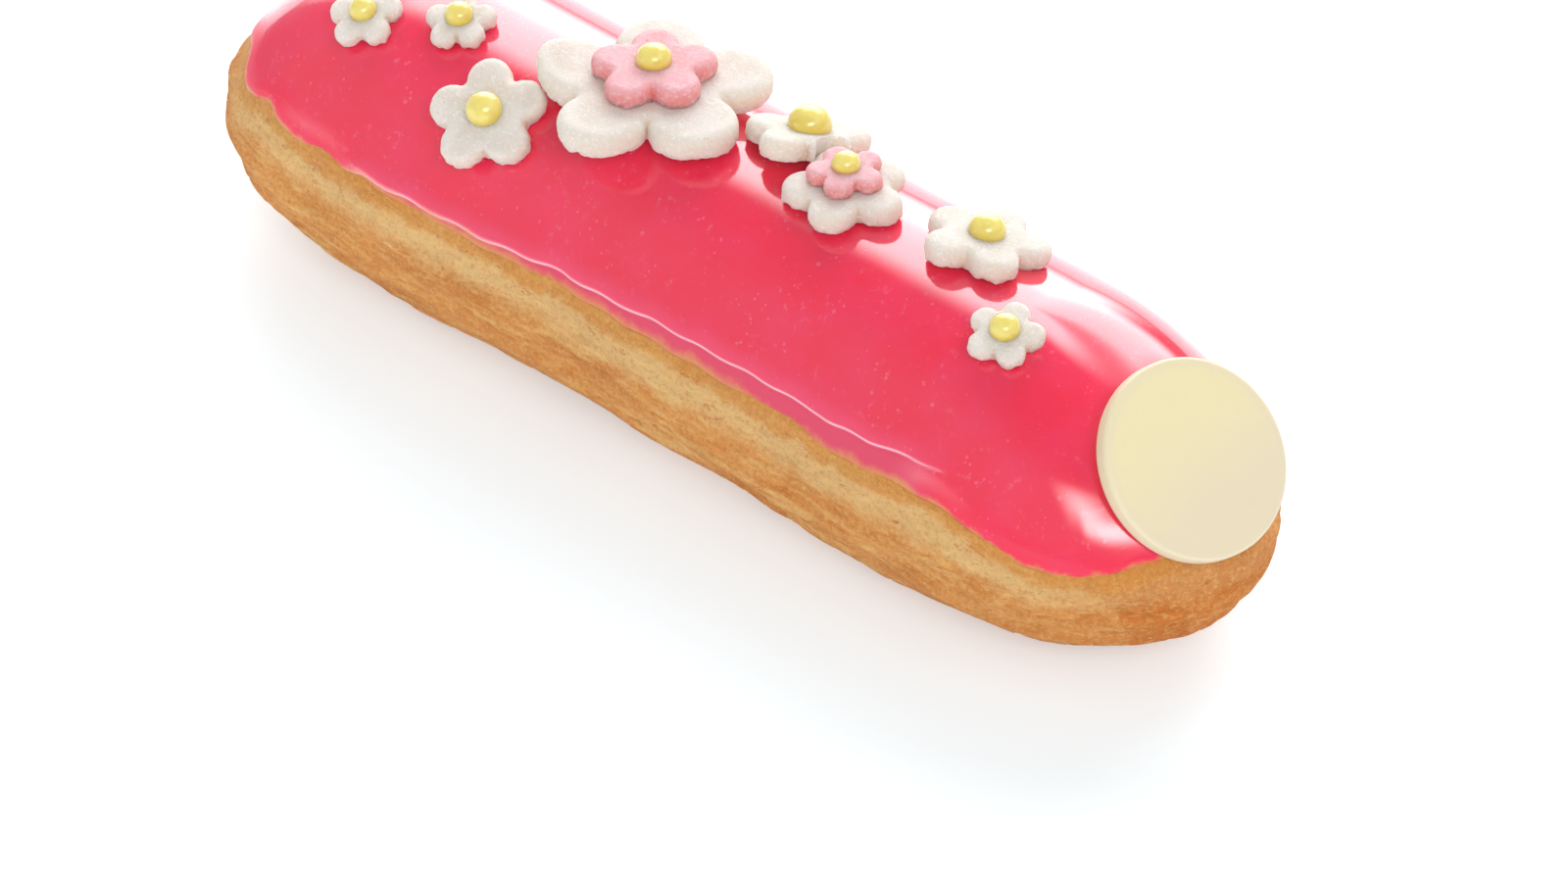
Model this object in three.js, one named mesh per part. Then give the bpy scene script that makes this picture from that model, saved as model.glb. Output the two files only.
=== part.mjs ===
// A filled choux eclair, lying as served. Its baked shell rests on a flat underside, a poured
// pink glaze covers the top, and on the glaze lie eight cut sugar-paste flowers, two of them with
// a second pink flower on top. Each flower has a domed yellow centre, and a thin round plaque of
// white chocolate leans on one end.
//
// Millimetres. +X runs along the shell to the plaque's end, -Y is the near side, +Z is up, and
// z = 0 is the surface that the shell rests on.
import * as THREE from "three";

// The whole loaf, glaze included.
const LENGTH = 140;
const WIDTH = 39.8;
const HEIGHT = 32;
const WAIST_HEIGHT = 13.4; // height of the widest line
const FOOT_PRESS = 0.45; // how far the round underside is pressed flat on the baking tray
const PLAIN = 2; // power of the round upper section
const UNDERSIDE = 2.53; // power of the squarer lower section
const BEND = [-0.16, -0.56]; // sideways drift towards the ends, even and odd part

// Each end: how long its rounding is, the powers of its plan, its upper and its lower profile, and
// the height of the glaze's edge at its tip.
const END = {
  left: { sign: -1, reach: 26.8, plan: 2.74, crown: 1.93, foot: 1.87, edge: 21.4 },
  right: { sign: 1, reach: 30.1, plan: 2.01, crown: 1.53, foot: 2.37, edge: 18 },
};

// Soft swellings of the sides left by piping: place along X, amount, half length; side -1 is near.
const SIDE_SWELLS = [
  { side: -1, x: -49, out: -0.4, half: 7 },
  { side: -1, x: -36, out: 0.28, half: 9 },
  { side: -1, x: -9, out: -0.4, half: 11 },
  { side: -1, x: 33, out: 0.3, half: 7 },
  { side: -1, x: 51, out: 0.3, half: 5 },
  { side: 1, x: -28, out: -0.35, half: 12 },
  { side: 1, x: 13, out: -0.5, half: 9 },
  { side: 1, x: 36, out: 0.35, half: 6 },
];

// The poured glaze: thickness on the crown and at its film edge, and the bead inside that edge.
const GLAZE_CROWN = 1.4;
const GLAZE_FILM = 0.4;
const GLAZE_BEAD = 0.35;
const GLAZE_LINE = 19.25; // usual height of its lower edge
const GAP = 0.3; // left between pieces that touch
const PRESS_GAP = 0.45; // the same in plan, between two flowers that press on each other

// Runs and draws of the glaze's edge: place along X, side, drop (negative where it draws up), width.
const GLAZE_RUNS = [
  { x: 58.8, side: -1, drop: 3.8, half: 9.5 },
  { x: 28.5, side: -1, drop: 0.8, half: 10.4 },
  { x: -56.7, side: -1, drop: -1.4, half: 2.3 },
  { x: -65.8, side: -1, drop: -2.4, half: 3.2 },
  { x: 64, side: 1, drop: 1.6, half: 5 },
  { x: 22, side: 1, drop: 1.1, half: 7 },
  { x: -12, side: 1, drop: -0.7, half: 9 },
  { x: -47, side: 1, drop: 1.5, half: 6 },
];

// Flowers in order from the left: place on the glaze, distance from middle to petal tip, thickness
// of the sugar paste, turn, centre's radius, and lean in degrees along +X and +Y. A doubled flower
// has an upper one of its own, a flower may have one petal raised off the glaze, and one that lies
// against its neighbour is pressed back by it.
const FLOWERS = [
  { x: -48.6, y: -8.2, tip: 4.15, sheet: 1.5, turn: 52, centre: 1.5, lean: [6, 4] },
  { x: -38.7, y: -3.8, tip: 3.97, sheet: 1.5, turn: 53, centre: 1.55, lean: [2, -1] },
  { x: -27.1, y: -11.2, tip: 6.6, sheet: 1.9, turn: 52.1, centre: 1.98, lean: [6, 3] },
  {
    x: -13.6, y: -0.3, tip: 13, sheet: 2.5, turn: 56.2, centre: 1.93, lean: [-2, 2],
    raised: { petal: 2, by: 2 },
    upper: { tip: 6.88, sheet: 1.9, turn: 59.2, shift: [-0.1, 0.3] },
  },
  { x: 4.2, y: 4.3, tip: 6.88, sheet: 2.1, turn: 56.6, centre: 2.38, lean: [-7, 6], neighbour: 5 },
  {
    x: 13.4, y: 0.6, tip: 6.79, sheet: 2.1, turn: 3.4, centre: 1.55, lean: [-1.8, -1.1],
    upper: { tip: 4.25, sheet: 1.4, turn: 7.7, shift: [-0.3, 0.3] },
  },
  { x: 29.6, y: 3.9, tip: 7, sheet: 2.1, turn: 35.6, centre: 1.98, lean: [0.8, 0.8] },
  { x: 41.1, y: -5.6, tip: 4.19, sheet: 1.5, turn: 34.7, centre: 1.65, lean: [5, 2.5] },
];
const PETALS = 5;
const FLAT_SIZE = 0.53; // size of the flat middle of a flower with a raised petal
const CENTRE_RISE = 0.92; // height of a yellow centre over its radius
const CENTRE_RIM = 0.1; // height of the upright rim at its foot

// The plaque: the middle of its back before it is laid against the glaze, the degrees its face turns
// from straight up towards +X, and how far it is swung towards the near side.
const PLAQUE_RADIUS = 10.66;
const PLAQUE_THICKNESS = 1.7;
const PLAQUE_PLACE = [62.3, -1.1, 24.1];
const PLAQUE_TILT = 45.7;
const PLAQUE_SWING = -9.6;

// Mesh steps.
const END_STEPS = 28; // round each end
const SIDE_STEPS = 26; // along each side
const ARC_STEPS = 7; // round each petal
const SPINE_ANGLE = 6; // degrees, the innermost ring of the crown and of the foot

const COLOURS = {
  shell: { color: 0xd9a05f, roughness: 0.7, metalness: 0 },
  glaze: { color: 0xe8405e, roughness: 0.12, metalness: 0 },
  whitePaste: { color: 0xf3ece2, roughness: 0.8, metalness: 0 },
  pinkPaste: { color: 0xff9fa8, roughness: 0.75, metalness: 0 },
  yellow: { color: 0xead862, roughness: 0.2, metalness: 0 },
  plaque: { color: 0xeee3bd, roughness: 0.4, metalness: 0 },
};

const radians = THREE.MathUtils.degToRad;
const bell = (distance, half) => Math.exp(-((distance / half) ** 2));

// A point of the unit superellipse in the direction of an angle, as [along, across].
function squircle(angle, power) {
  const c = Math.cos(angle);
  const s = Math.sin(angle);
  const size = (Math.abs(c) ** power + Math.abs(s) ** power) ** (1 / power);
  return [c / size, s / size];
}

function halfWidth(x, side) {
  const swell = SIDE_SWELLS.filter((s) => s.side === side)
    .reduce((sum, s) => sum + s.out * bell(x - s.x, s.half), 0);
  return WIDTH / 2 + swell;
}

function bend(x) {
  const along = x / (LENGTH / 2);
  return BEND[0] * along ** 2 + BEND[1] * along ** 3;
}

// Where the ring of stations stands in plan. Station 0 is the right tip, and they run round by the
// far side (+Y) to the left tip and back by the near side, so station i faces station COUNT - i.
const STATIONS = 2 * (END_STEPS + SIDE_STEPS);

function station(i) {
  const half = STATIONS / 2;
  const place = ((i % STATIONS) + STATIONS) % STATIONS;
  const side = place <= half ? 1 : -1;
  const step = side === 1 ? place : STATIONS - place;
  const right = LENGTH / 2 - END.right.reach;
  const left = -LENGTH / 2 + END.left.reach;
  if (step < END_STEPS / 2) return endStation(END.right, right, step / (END_STEPS / 2), side);
  if (step > half - END_STEPS / 2)
    return endStation(END.left, left, (half - step) / (END_STEPS / 2), side);
  const along = (step - END_STEPS / 2) / (half - END_STEPS);
  const x = right + (left - right) * along;
  return { spineX: x, outX: 0, side, across: 1, facing: 0, end: END.right };
}

function endStation(end, spineX, turn, side) {
  const angle = (turn * Math.PI) / 2;
  const [along, across] = squircle(angle, end.plan);
  return { spineX, outX: end.sign * end.reach * along, side, across, facing: Math.cos(angle) ** 2, end };
}

// A point of the loaf's outer form: station i round the plan, and an angle down from the crown.
function loafPoint(i, down) {
  const s = station(i);
  const upper = down <= Math.PI / 2;
  const side = upper ? PLAIN : UNDERSIDE;
  const tip = upper ? s.end.crown : s.end.foot;
  const [rise, out] = squircle(down, side + (tip - side) * s.facing);
  const x = s.spineX + s.outX * out;
  const y = s.side * s.across * out * halfWidth(x, s.side) + bend(x);
  const z = upper
    ? WAIST_HEIGHT + (HEIGHT - WAIST_HEIGHT) * rise
    : Math.max(0, WAIST_HEIGHT + (WAIST_HEIGHT + FOOT_PRESS) * rise);
  return new THREE.Vector3(x, y, z);
}

function loafNormal(i, down) {
  const step = 0.02;
  const around = loafPoint(i + step, down).sub(loafPoint(i - step, down));
  const downward = loafPoint(i, down + step).sub(loafPoint(i, down - step));
  return downward.cross(around).normalize();
}

function offsetPoint(i, down, out) {
  return loafPoint(i, down).addScaledVector(loafNormal(i, down), out);
}

// The height of the glazed crown over a place in plan, and its outward direction there.
function crownHeight(x, y) {
  const end = x > 0 ? END.right : END.left;
  const past = Math.max(0, Math.abs(x) - (LENGTH / 2 - end.reach)) / end.reach;
  const across = Math.abs(y - bend(x)) / halfWidth(x, y > 0 ? 1 : -1);
  const out = (past ** end.plan + across ** end.plan) ** (1 / end.plan);
  const facing = past > 0 ? past ** 2 / (past ** 2 + across ** 2) : 0;
  const power = PLAIN + (end.crown - PLAIN) * facing;
  return WAIST_HEIGHT + (HEIGHT - WAIST_HEIGHT) * (1 - out ** power) ** (1 / power);
}

function crownNormal(x, y) {
  const step = 0.5;
  const slopeX = (crownHeight(x + step, y) - crownHeight(x - step, y)) / (2 * step);
  const slopeY = (crownHeight(x, y + step) - crownHeight(x, y - step)) / (2 * step);
  return new THREE.Vector3(-slopeX, -slopeY, 1).normalize();
}

// The angle down from the crown at which the glaze ends, at station i.
function glazeEdge(i) {
  const s = station(i);
  const x = s.spineX + s.outX;
  let along = GLAZE_LINE + 0.12 * Math.sin(0.9 * x + s.side);
  for (const run of GLAZE_RUNS)
    if (run.side === s.side) along -= run.drop * bell(x - run.x, run.half);
  const height = THREE.MathUtils.lerp(s.end.edge, along, THREE.MathUtils.smoothstep(s.across, 0, 0.5));
  const rise = (height - WAIST_HEIGHT) / (HEIGHT - WAIST_HEIGHT);
  const power = PLAIN + (s.end.crown - PLAIN) * s.facing;
  return Math.atan((rise ** -power - 1) ** (1 / power));
}

// Rings of the glaze from its edge (0) to the crown (1): how far the outside stands off the loaf's
// form, and how thick the glaze is.
const GLAZE_RINGS = [
  { up: 0, off: -0.1, thick: GLAZE_FILM },
  { up: 0.035, off: 0.12, thick: GLAZE_FILM + 0.4 },
  { up: 0.07, off: GLAZE_BEAD, thick: GLAZE_CROWN },
  { up: 0.13, off: 0.15, thick: GLAZE_CROWN },
  { up: 0.26, off: 0.05, thick: GLAZE_CROWN },
  { up: 0.42, off: 0, thick: GLAZE_CROWN },
  { up: 0.6, off: 0, thick: GLAZE_CROWN },
  { up: 0.8, off: 0, thick: GLAZE_CROWN },
  { up: 1, off: 0, thick: GLAZE_CROWN },
];

function glazeRing(ring, out) {
  return ringOf((i) => {
    const edge = glazeEdge(i);
    return offsetPoint(i, edge + (radians(SPINE_ANGLE) - edge) * ring.up, out);
  });
}

function ringOf(pointAt) {
  return Array.from({ length: STATIONS }, (_, i) => pointAt(i));
}

// Low swells and shallow furrows of the baked shell, along its outward direction.
function crustRelief(point) {
  const { x, y, z } = point;
  const nearFoot = THREE.MathUtils.smoothstep(z, 1.5, 6);
  const swells = 0.16 * Math.sin(0.19 * x + 0.5 * z) + 0.12 * Math.sin(0.37 * x - 0.9 * z + y * 0.1);
  const furrows = 0.14 * Math.sin(1.25 * z + 0.11 * x + 0.8 * Math.sin(0.13 * x));
  return nearFoot * (swells + furrows);
}

// A closed solid through equal rings of points, given from the top down. Its two ends are closed
// across, each point of the end ring being joined to the one that faces it.
function loftAcross(rings) {
  const count = rings[0].length;
  const triangles = sideTriangles(rings.length, count);
  const last = (rings.length - 1) * count;
  for (let i = 0; i < count / 2; i++) {
    const facing = (count - i) % count;
    const facingNext = count - i - 1;
    if (i > 0) triangles.push([i, i + 1, facing], [last + i + 1, last + i, last + facing]);
    if (i + 1 !== facingNext)
      triangles.push([i + 1, facingNext, facing], [last + facingNext, last + i + 1, last + facing]);
  }
  return solid(rings.flat(), triangles);
}

// The same through rings round one middle, each end closed by a fan.
function loftRound(rings) {
  const count = rings[0].length;
  const points = rings.flat();
  const middle = (ring) => ring.reduce((sum, p) => sum.add(p), new THREE.Vector3()).divideScalar(count);
  const top = points.push(middle(rings[0])) - 1;
  const foot = points.push(middle(rings[rings.length - 1])) - 1;
  const triangles = sideTriangles(rings.length, count);
  const last = (rings.length - 1) * count;
  for (let i = 0; i < count; i++) {
    const next = (i + 1) % count;
    triangles.push([top, i, next], [foot, last + next, last + i]);
  }
  return solid(points, triangles);
}

function sideTriangles(ringCount, count) {
  const triangles = [];
  for (let r = 0; r + 1 < ringCount; r++)
    for (let i = 0; i < count; i++) {
      const next = (i + 1) % count;
      const [a, b, c, d] = [r * count + i, r * count + next, (r + 1) * count + next, (r + 1) * count + i];
      triangles.push([a, d, c], [a, c, b]);
    }
  return triangles;
}

function solid(points, triangles) {
  const geometry = new THREE.BufferGeometry().setFromPoints(points);
  geometry.setIndex(triangles.flat());
  return geometry;
}

function mesh(name, geometry, finish) {
  geometry.computeVertexNormals();
  const made = new THREE.Mesh(geometry, new THREE.MeshStandardMaterial(finish));
  made.name = name;
  return made;
}

function makeShell() {
  const covered = GLAZE_RINGS.map((ring) => glazeRing(ring, ring.off - ring.thick - GAP)).reverse();
  const belowGlaze = 2.2; // degrees from the glaze's edge to the shell's full size
  const steps = 13;
  const open = Array.from({ length: steps }, (_, k) =>
    ringOf((i) => {
      const start = glazeEdge(i) + radians(belowGlaze);
      const end = Math.PI - radians(SPINE_ANGLE);
      const down = start + (end - start) * (k / (steps - 1));
      return offsetPoint(i, down, crustRelief(loafPoint(i, down)));
    }).map((p) => p.setZ(Math.max(0, p.z))),
  );
  return mesh("choux_shell", loftAcross([...covered, ...open]), COLOURS.shell);
}

function makeGlaze() {
  const outside = GLAZE_RINGS.map((ring) => glazeRing(ring, ring.off)).reverse();
  const inside = GLAZE_RINGS.map((ring) => glazeRing(ring, ring.off - ring.thick));
  return mesh("pink_glaze", loftAcross([...outside, ...inside]), COLOURS.glaze);
}

// Petals are circles that just meet, so that the notches between them are sharp: the distance of
// their middles from the flower's, and their radius.
function petalSizes(tip) {
  const spread = Math.sin(Math.PI / PETALS);
  const middle = tip / (1 + spread);
  return { middle, radius: middle * spread };
}

const petalFacing = (petal) => (2 * Math.PI * petal) / PETALS;

function flowerOutline(tip, inset) {
  const { middle, radius } = petalSizes(tip);
  const sweep = Math.PI / 2 + Math.PI / PETALS;
  const points = [];
  for (let petal = 0; petal < PETALS; petal++) {
    const facing = petalFacing(petal);
    for (let k = 0; k < ARC_STEPS; k++) {
      const angle = facing + sweep * ((2 * (k + 0.5)) / ARC_STEPS - 1);
      const x = middle * Math.cos(facing) + (radius - inset) * Math.cos(angle);
      const y = middle * Math.sin(facing) + (radius - inset) * Math.sin(angle);
      points.push(new THREE.Vector2(x, y));
    }
  }
  return points;
}

// A point of a flower's outline, pulled in towards its middle until it is clear of the neighbour
// that presses on it.
function pressedBack(point, flower) {
  if (flower.neighbour === undefined) return point;
  const other = FLOWERS[flower.neighbour];
  const { middle, radius } = petalSizes(other.tip);
  const petals = Array.from({ length: PETALS }, (_, petal) => {
    const facing = petalFacing(petal) + radians(other.turn);
    return new THREE.Vector2(middle * Math.cos(facing), middle * Math.sin(facing));
  });
  const offset = new THREE.Vector2(flower.x - other.x, flower.y - other.y);
  const turned = point.clone().rotateAround(new THREE.Vector2(), radians(flower.turn));
  const clear = (size) => {
    const place = offset.clone().addScaledVector(turned, size);
    return petals.every((petal) => petal.distanceTo(place) > radius + PRESS_GAP);
  };
  let size = 1;
  while (size > 0.4 && !clear(size)) size -= 0.01;
  return point.clone().multiplyScalar(size);
}

// How far a point of a flower stands up because one of its petals is raised.
function petalRise({ x, y }, { tip, raised }) {
  if (!raised) return 0;
  const facing = petalFacing(raised.petal);
  const out = (x * Math.cos(facing) + y * Math.sin(facing)) / tip;
  return raised.by * (Math.max(0, out - FLAT_SIZE) / (1 - FLAT_SIZE)) ** 2;
}

// A flower cut from a sheet, lying on its own z = 0, with its upper edge pressed round.
function flowerGeometry(flower) {
  const { tip, sheet } = flower;
  const levels = [
    { inset: 0.32 * sheet, z: sheet },
    { inset: 0.1 * sheet, z: 0.86 * sheet },
    { inset: 0, z: 0.6 * sheet },
    { inset: 0.02 * sheet, z: 0 },
  ];
  if (flower.raised) {
    levels.unshift({ ...levels[0], size: FLAT_SIZE });
    levels.push({ ...levels[levels.length - 1], size: FLAT_SIZE });
  }
  const rings = levels.map(({ inset, z, size = 1 }) =>
    flowerOutline(tip, inset).map((cut) => {
      const point = pressedBack(cut, flower).multiplyScalar(size);
      return new THREE.Vector3(point.x, point.y, z + petalRise(point, flower));
    }),
  );
  return loftRound(rings);
}

function centreGeometry(radius) {
  const rise = CENTRE_RISE * radius;
  const profile = [new THREE.Vector2(0, 0)];
  const steps = 4;
  for (let k = 0; k <= steps; k++) {
    const angle = (k / steps) * (Math.PI / 2);
    const out = k === steps ? 0 : radius * Math.cos(angle);
    profile.push(new THREE.Vector2(out, CENTRE_RIM + rise * Math.sin(angle)));
  }
  return new THREE.LatheGeometry(profile, 16).rotateX(Math.PI / 2);
}

// A frame that stands on the glaze at a flower's place and leans as the flower does, raised until
// the flower's underside is clear of the glaze all round.
function flowerFrame(flower) {
  const normal = crownNormal(flower.x, flower.y);
  const alongX = new THREE.Vector3(1, 0, 0).addScaledVector(normal, -normal.x).normalize();
  const alongY = normal.clone().cross(alongX);
  const up = normal
    .clone()
    .addScaledVector(alongX, Math.tan(radians(flower.lean[0])))
    .addScaledVector(alongY, Math.tan(radians(flower.lean[1])))
    .normalize();
  const forward = alongX.clone().addScaledVector(up, -alongX.dot(up)).normalize();
  const foot = new THREE.Vector3(flower.x, flower.y, crownHeight(flower.x, flower.y));
  const matrix = new THREE.Matrix4().makeBasis(forward, up.clone().cross(forward), up);
  const turn = new THREE.Matrix4().makeRotationZ(radians(flower.turn));
  const underside = [new THREE.Vector2(), ...flowerOutline(flower.tip, 0)].map((point) =>
    new THREE.Vector3(point.x, point.y, petalRise(point, flower)).applyMatrix4(turn).applyMatrix4(matrix),
  );
  const settling = 6;
  for (let k = 0; k < settling; k++) {
    const gaps = underside.map((p) => foot.z + p.z - crownHeight(foot.x + p.x, foot.y + p.y));
    foot.addScaledVector(up, GAP - Math.min(...gaps));
  }
  const frame = new THREE.Group();
  frame.matrixAutoUpdate = false;
  frame.matrix.copy(matrix).setPosition(foot);
  return frame;
}

function makeFlower(flower, number) {
  const frame = flowerFrame(flower);
  const lower = mesh(`white_flower_${number}`, flowerGeometry(flower), COLOURS.whitePaste);
  lower.rotation.z = radians(flower.turn);
  frame.add(lower);
  let top = flower.sheet + GAP;
  let middle = [0, 0];
  if (flower.upper) {
    middle = flower.upper.shift;
    const upper = mesh(`pink_flower_${number}`, flowerGeometry(flower.upper), COLOURS.pinkPaste);
    upper.position.set(...middle, top);
    upper.rotation.z = radians(flower.upper.turn);
    frame.add(upper);
    top += flower.upper.sheet + GAP;
  }
  const centre = mesh(`yellow_centre_${number}`, centreGeometry(flower.centre), COLOURS.yellow);
  centre.position.set(...middle, top);
  frame.add(centre);
  return frame;
}

// The plaque leans on the glazed right end, its back just clear of the glaze.
function makePlaque() {
  const rim = 0.5;
  const profile = [
    new THREE.Vector2(0, 0),
    new THREE.Vector2(PLAQUE_RADIUS - rim, 0),
    new THREE.Vector2(PLAQUE_RADIUS, rim),
    new THREE.Vector2(PLAQUE_RADIUS - 0.08, PLAQUE_THICKNESS - 0.7),
    new THREE.Vector2(PLAQUE_RADIUS - 0.35, PLAQUE_THICKNESS - 0.2),
    new THREE.Vector2(PLAQUE_RADIUS - 0.85, PLAQUE_THICKNESS),
    new THREE.Vector2(0, PLAQUE_THICKNESS),
  ];
  const shape = new THREE.LatheGeometry(profile, 44).rotateX(Math.PI / 2);
  const plaque = mesh("white_plaque", shape, COLOURS.plaque);
  plaque.rotation.set(0, radians(PLAQUE_TILT), radians(PLAQUE_SWING), "ZYX");
  plaque.position.copy(plaqueFoot(new THREE.Vector3(0, 0, 1).applyEuler(plaque.rotation)));
  return plaque;
}

// The middle of the plaque's back, on the plane that faces as the plaque does and lies just clear
// of the glaze's right end.
function plaqueFoot(facing) {
  let reach = -Infinity;
  const steps = 120;
  const end = LENGTH / 2 - END.right.reach;
  for (let i = 0; i < steps; i++)
    for (let k = 1; k < steps; k++) {
      const x = end + END.right.reach * (i / steps);
      const y = bend(x) + WIDTH * (k / steps - 0.5);
      const height = crownHeight(x, y);
      if (height > WAIST_HEIGHT) reach = Math.max(reach, new THREE.Vector3(x, y, height).dot(facing));
    }
  const foot = new THREE.Vector3(...PLAQUE_PLACE);
  return foot.addScaledVector(facing, reach + GAP - foot.dot(facing));
}

const eclair = new THREE.Group();
eclair.name = "eclair";
eclair.add(makeShell(), makeGlaze());
FLOWERS.forEach((flower, index) => eclair.add(makeFlower(flower, index + 1)));
eclair.add(makePlaque());

export default eclair;
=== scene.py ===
"""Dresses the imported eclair: a baked choux shell under a poured pink glaze, flowers cut from sugar
paste with yellow centres, and a round plaque of white chocolate that leans on its right end.

Sizes are in millimetres in the row frame, +X towards the plaque's end, -Y the near side, +Z up. They
are turned into metres where a piece is dressed.
"""

from __future__ import annotations

import logging
import math
from collections.abc import Sequence
from dataclasses import dataclass, field
from enum import Enum
from typing import Any

import bpy
import numpy as np
from mathutils import Matrix, Vector

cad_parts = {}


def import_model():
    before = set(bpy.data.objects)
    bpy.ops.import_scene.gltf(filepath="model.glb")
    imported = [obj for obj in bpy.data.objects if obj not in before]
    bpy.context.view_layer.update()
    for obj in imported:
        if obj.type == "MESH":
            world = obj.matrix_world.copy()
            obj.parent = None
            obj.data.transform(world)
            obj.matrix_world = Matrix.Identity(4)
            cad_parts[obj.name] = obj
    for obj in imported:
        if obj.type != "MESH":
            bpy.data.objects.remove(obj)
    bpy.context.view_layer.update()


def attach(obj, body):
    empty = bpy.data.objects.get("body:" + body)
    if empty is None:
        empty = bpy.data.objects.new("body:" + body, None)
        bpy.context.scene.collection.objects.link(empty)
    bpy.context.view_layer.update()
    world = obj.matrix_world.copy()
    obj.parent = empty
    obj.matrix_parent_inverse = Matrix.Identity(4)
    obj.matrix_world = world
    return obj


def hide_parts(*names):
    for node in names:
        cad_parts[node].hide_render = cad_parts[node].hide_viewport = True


LOG = logging.getLogger("eclair")
MM = 0.001
TO_METRES = Matrix.Diagonal((MM, MM, MM, 1))
MERGE = 1e-4
TINY = 1e-9
BODY = "root"

Colour = tuple[float, ...]
Pair = tuple[float, float]
Triple = tuple[float, float, float]
Socket = bpy.types.NodeSocket
Value = float | Colour | Socket
Inputs = dict[int | str, Value]

EVEN: Triple = (1.0, 1.0, 1.0)
WHITE: Colour = (1.0, 1.0, 1.0, 1.0)


class Slot(Enum):
    """The record's material slots."""

    CRUST = "baked_crust"
    GLAZE = "pink_glaze"
    WHITE_PASTE = "white_paste"
    PINK_PASTE = "pink_paste"
    YELLOW = "yellow_glaze"
    CHOCOLATE = "white_chocolate"


class Side(Enum):
    """The two long sides of the loaf, by the sign of Y."""

    NEAR = -1
    FAR = 1


# ---------------------------------------------------------------- numbers and noise

CELL_FACTORS = (73856093, 19349663, 83492791)
SEED_FACTOR = 2654435761
MIXING_FACTOR = 1274126177
LOW_BITS = 0xFFFF
LAYER_SEEDS = 17


def smooth(value: np.ndarray, low: float, high: float) -> np.ndarray:
    """Smooth step from 0 at low to 1 at high."""
    t = np.clip((value - low) / (high - low), 0, 1)
    return t * t * (3 - 2 * t)


def bell(distance: np.ndarray, half: float) -> np.ndarray:
    """A bell curve of that half width."""
    return np.exp(-((distance / half) ** 2))


def compass(angle: np.ndarray | float) -> np.ndarray:
    """Directions in plan at those angles, two numbers to each."""
    return np.stack([np.cos(angle), np.sin(angle)], -1)


def lattice(cell: np.ndarray, seed: int) -> np.ndarray:
    """A fixed random number from 0 to 1 for each whole cell.

    Args:
        cell: whole numbers, three to a point.
        seed: which set of numbers to use.

    Returns:
        One number for each point.
    """
    mixed = (cell.astype(np.int64) * np.array(CELL_FACTORS)).sum(-1) + seed * SEED_FACTOR
    mixed = (mixed ^ (mixed >> 13)) * MIXING_FACTOR
    return ((mixed ^ (mixed >> 16)) & LOW_BITS) / LOW_BITS


def noise(points: np.ndarray, size: float | Sequence[float], seed: int) -> np.ndarray:
    """Soft noise from -1 to 1.

    Args:
        points: places in millimetres, three to a point.
        size: the width of its lumps, or one width along each axis.
        seed: which pattern to use.

    Returns:
        One value for each point.
    """
    place = points / np.asarray(size, float)
    cell = np.floor(place)
    part = place - cell
    part = part * part * (3 - 2 * part)
    total = np.zeros(points.shape[:-1])
    for corner in range(8):
        step = np.array([corner & 1, corner >> 1 & 1, corner >> 2 & 1])
        weight = np.where(step == 1, part, 1 - part).prod(-1)
        total += weight * lattice(cell + step, seed)
    return 2 * total - 1


@dataclass(frozen=True)
class Lumps:
    """Noise on a surface: its height, the width of its lumps, its layers and its pattern.

    Each layer is half the size and half the height of the last.
    """

    height: float
    size: float | Triple
    layers: int
    seed: int

    def at(self, points: np.ndarray, shift: int = 0) -> np.ndarray:
        """Its height at points, in the pattern that many after its own.

        Args:
            points: places in millimetres, three to a point.
            shift: how many patterns after its own to use.

        Returns:
            One height in millimetres for each point.
        """
        widths = np.asarray(self.size, float)
        total = np.zeros(points.shape[:-1])
        for layer in range(self.layers):
            seed = self.seed + shift + LAYER_SEEDS * layer
            total += noise(points, widths / 2**layer, seed) / 2**layer
        return self.height * total


@dataclass(frozen=True)
class Wave:
    """A wave over a surface: its height, and its pace along each axis in radians a millimetre.

    A second wave along X bends it, by its own height in radians, its pace and its start.
    """

    height: float
    pace: Triple
    bend: float = 0.0
    bend_pace: float = 0.0
    bend_start: float = 0.0

    def at(self, points: np.ndarray) -> np.ndarray:
        """Its height at points."""
        bent = self.bend * np.sin(self.bend_pace * points[..., 0] + self.bend_start)
        return self.height * np.sin(points @ np.array(self.pace) + bent)


@dataclass(frozen=True)
class Hump:
    """A smooth hump: its height, where it rises and where it falls."""

    height: float
    rise: Pair
    fall: Pair

    def at(self, value: np.ndarray) -> np.ndarray:
        """Its height at a place."""
        return self.height * smooth(value, *self.rise) * (1 - smooth(value, *self.fall))


# ---------------------------------------------------------------- mesh making


def object_mode() -> None:
    """Leaves edit mode and deselects everything."""
    if bpy.context.object and bpy.context.object.mode != "OBJECT":
        bpy.ops.object.mode_set(mode="OBJECT")
    bpy.ops.object.select_all(action="DESELECT")


def smooth_faces(piece: bpy.types.Object, sharp: float | None = None) -> None:
    """Shades a piece smooth, but for edges sharper than that many degrees.

    Args:
        piece: the piece.
        sharp: the angle past which an edge stays sharp, if any does.
    """
    object_mode()
    piece.select_set(True)
    bpy.context.view_layer.objects.active = piece
    if sharp is None:
        bpy.ops.object.shade_smooth()
    else:
        bpy.ops.object.shade_smooth_by_angle(angle=math.radians(sharp))
    piece.select_set(False)


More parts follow.
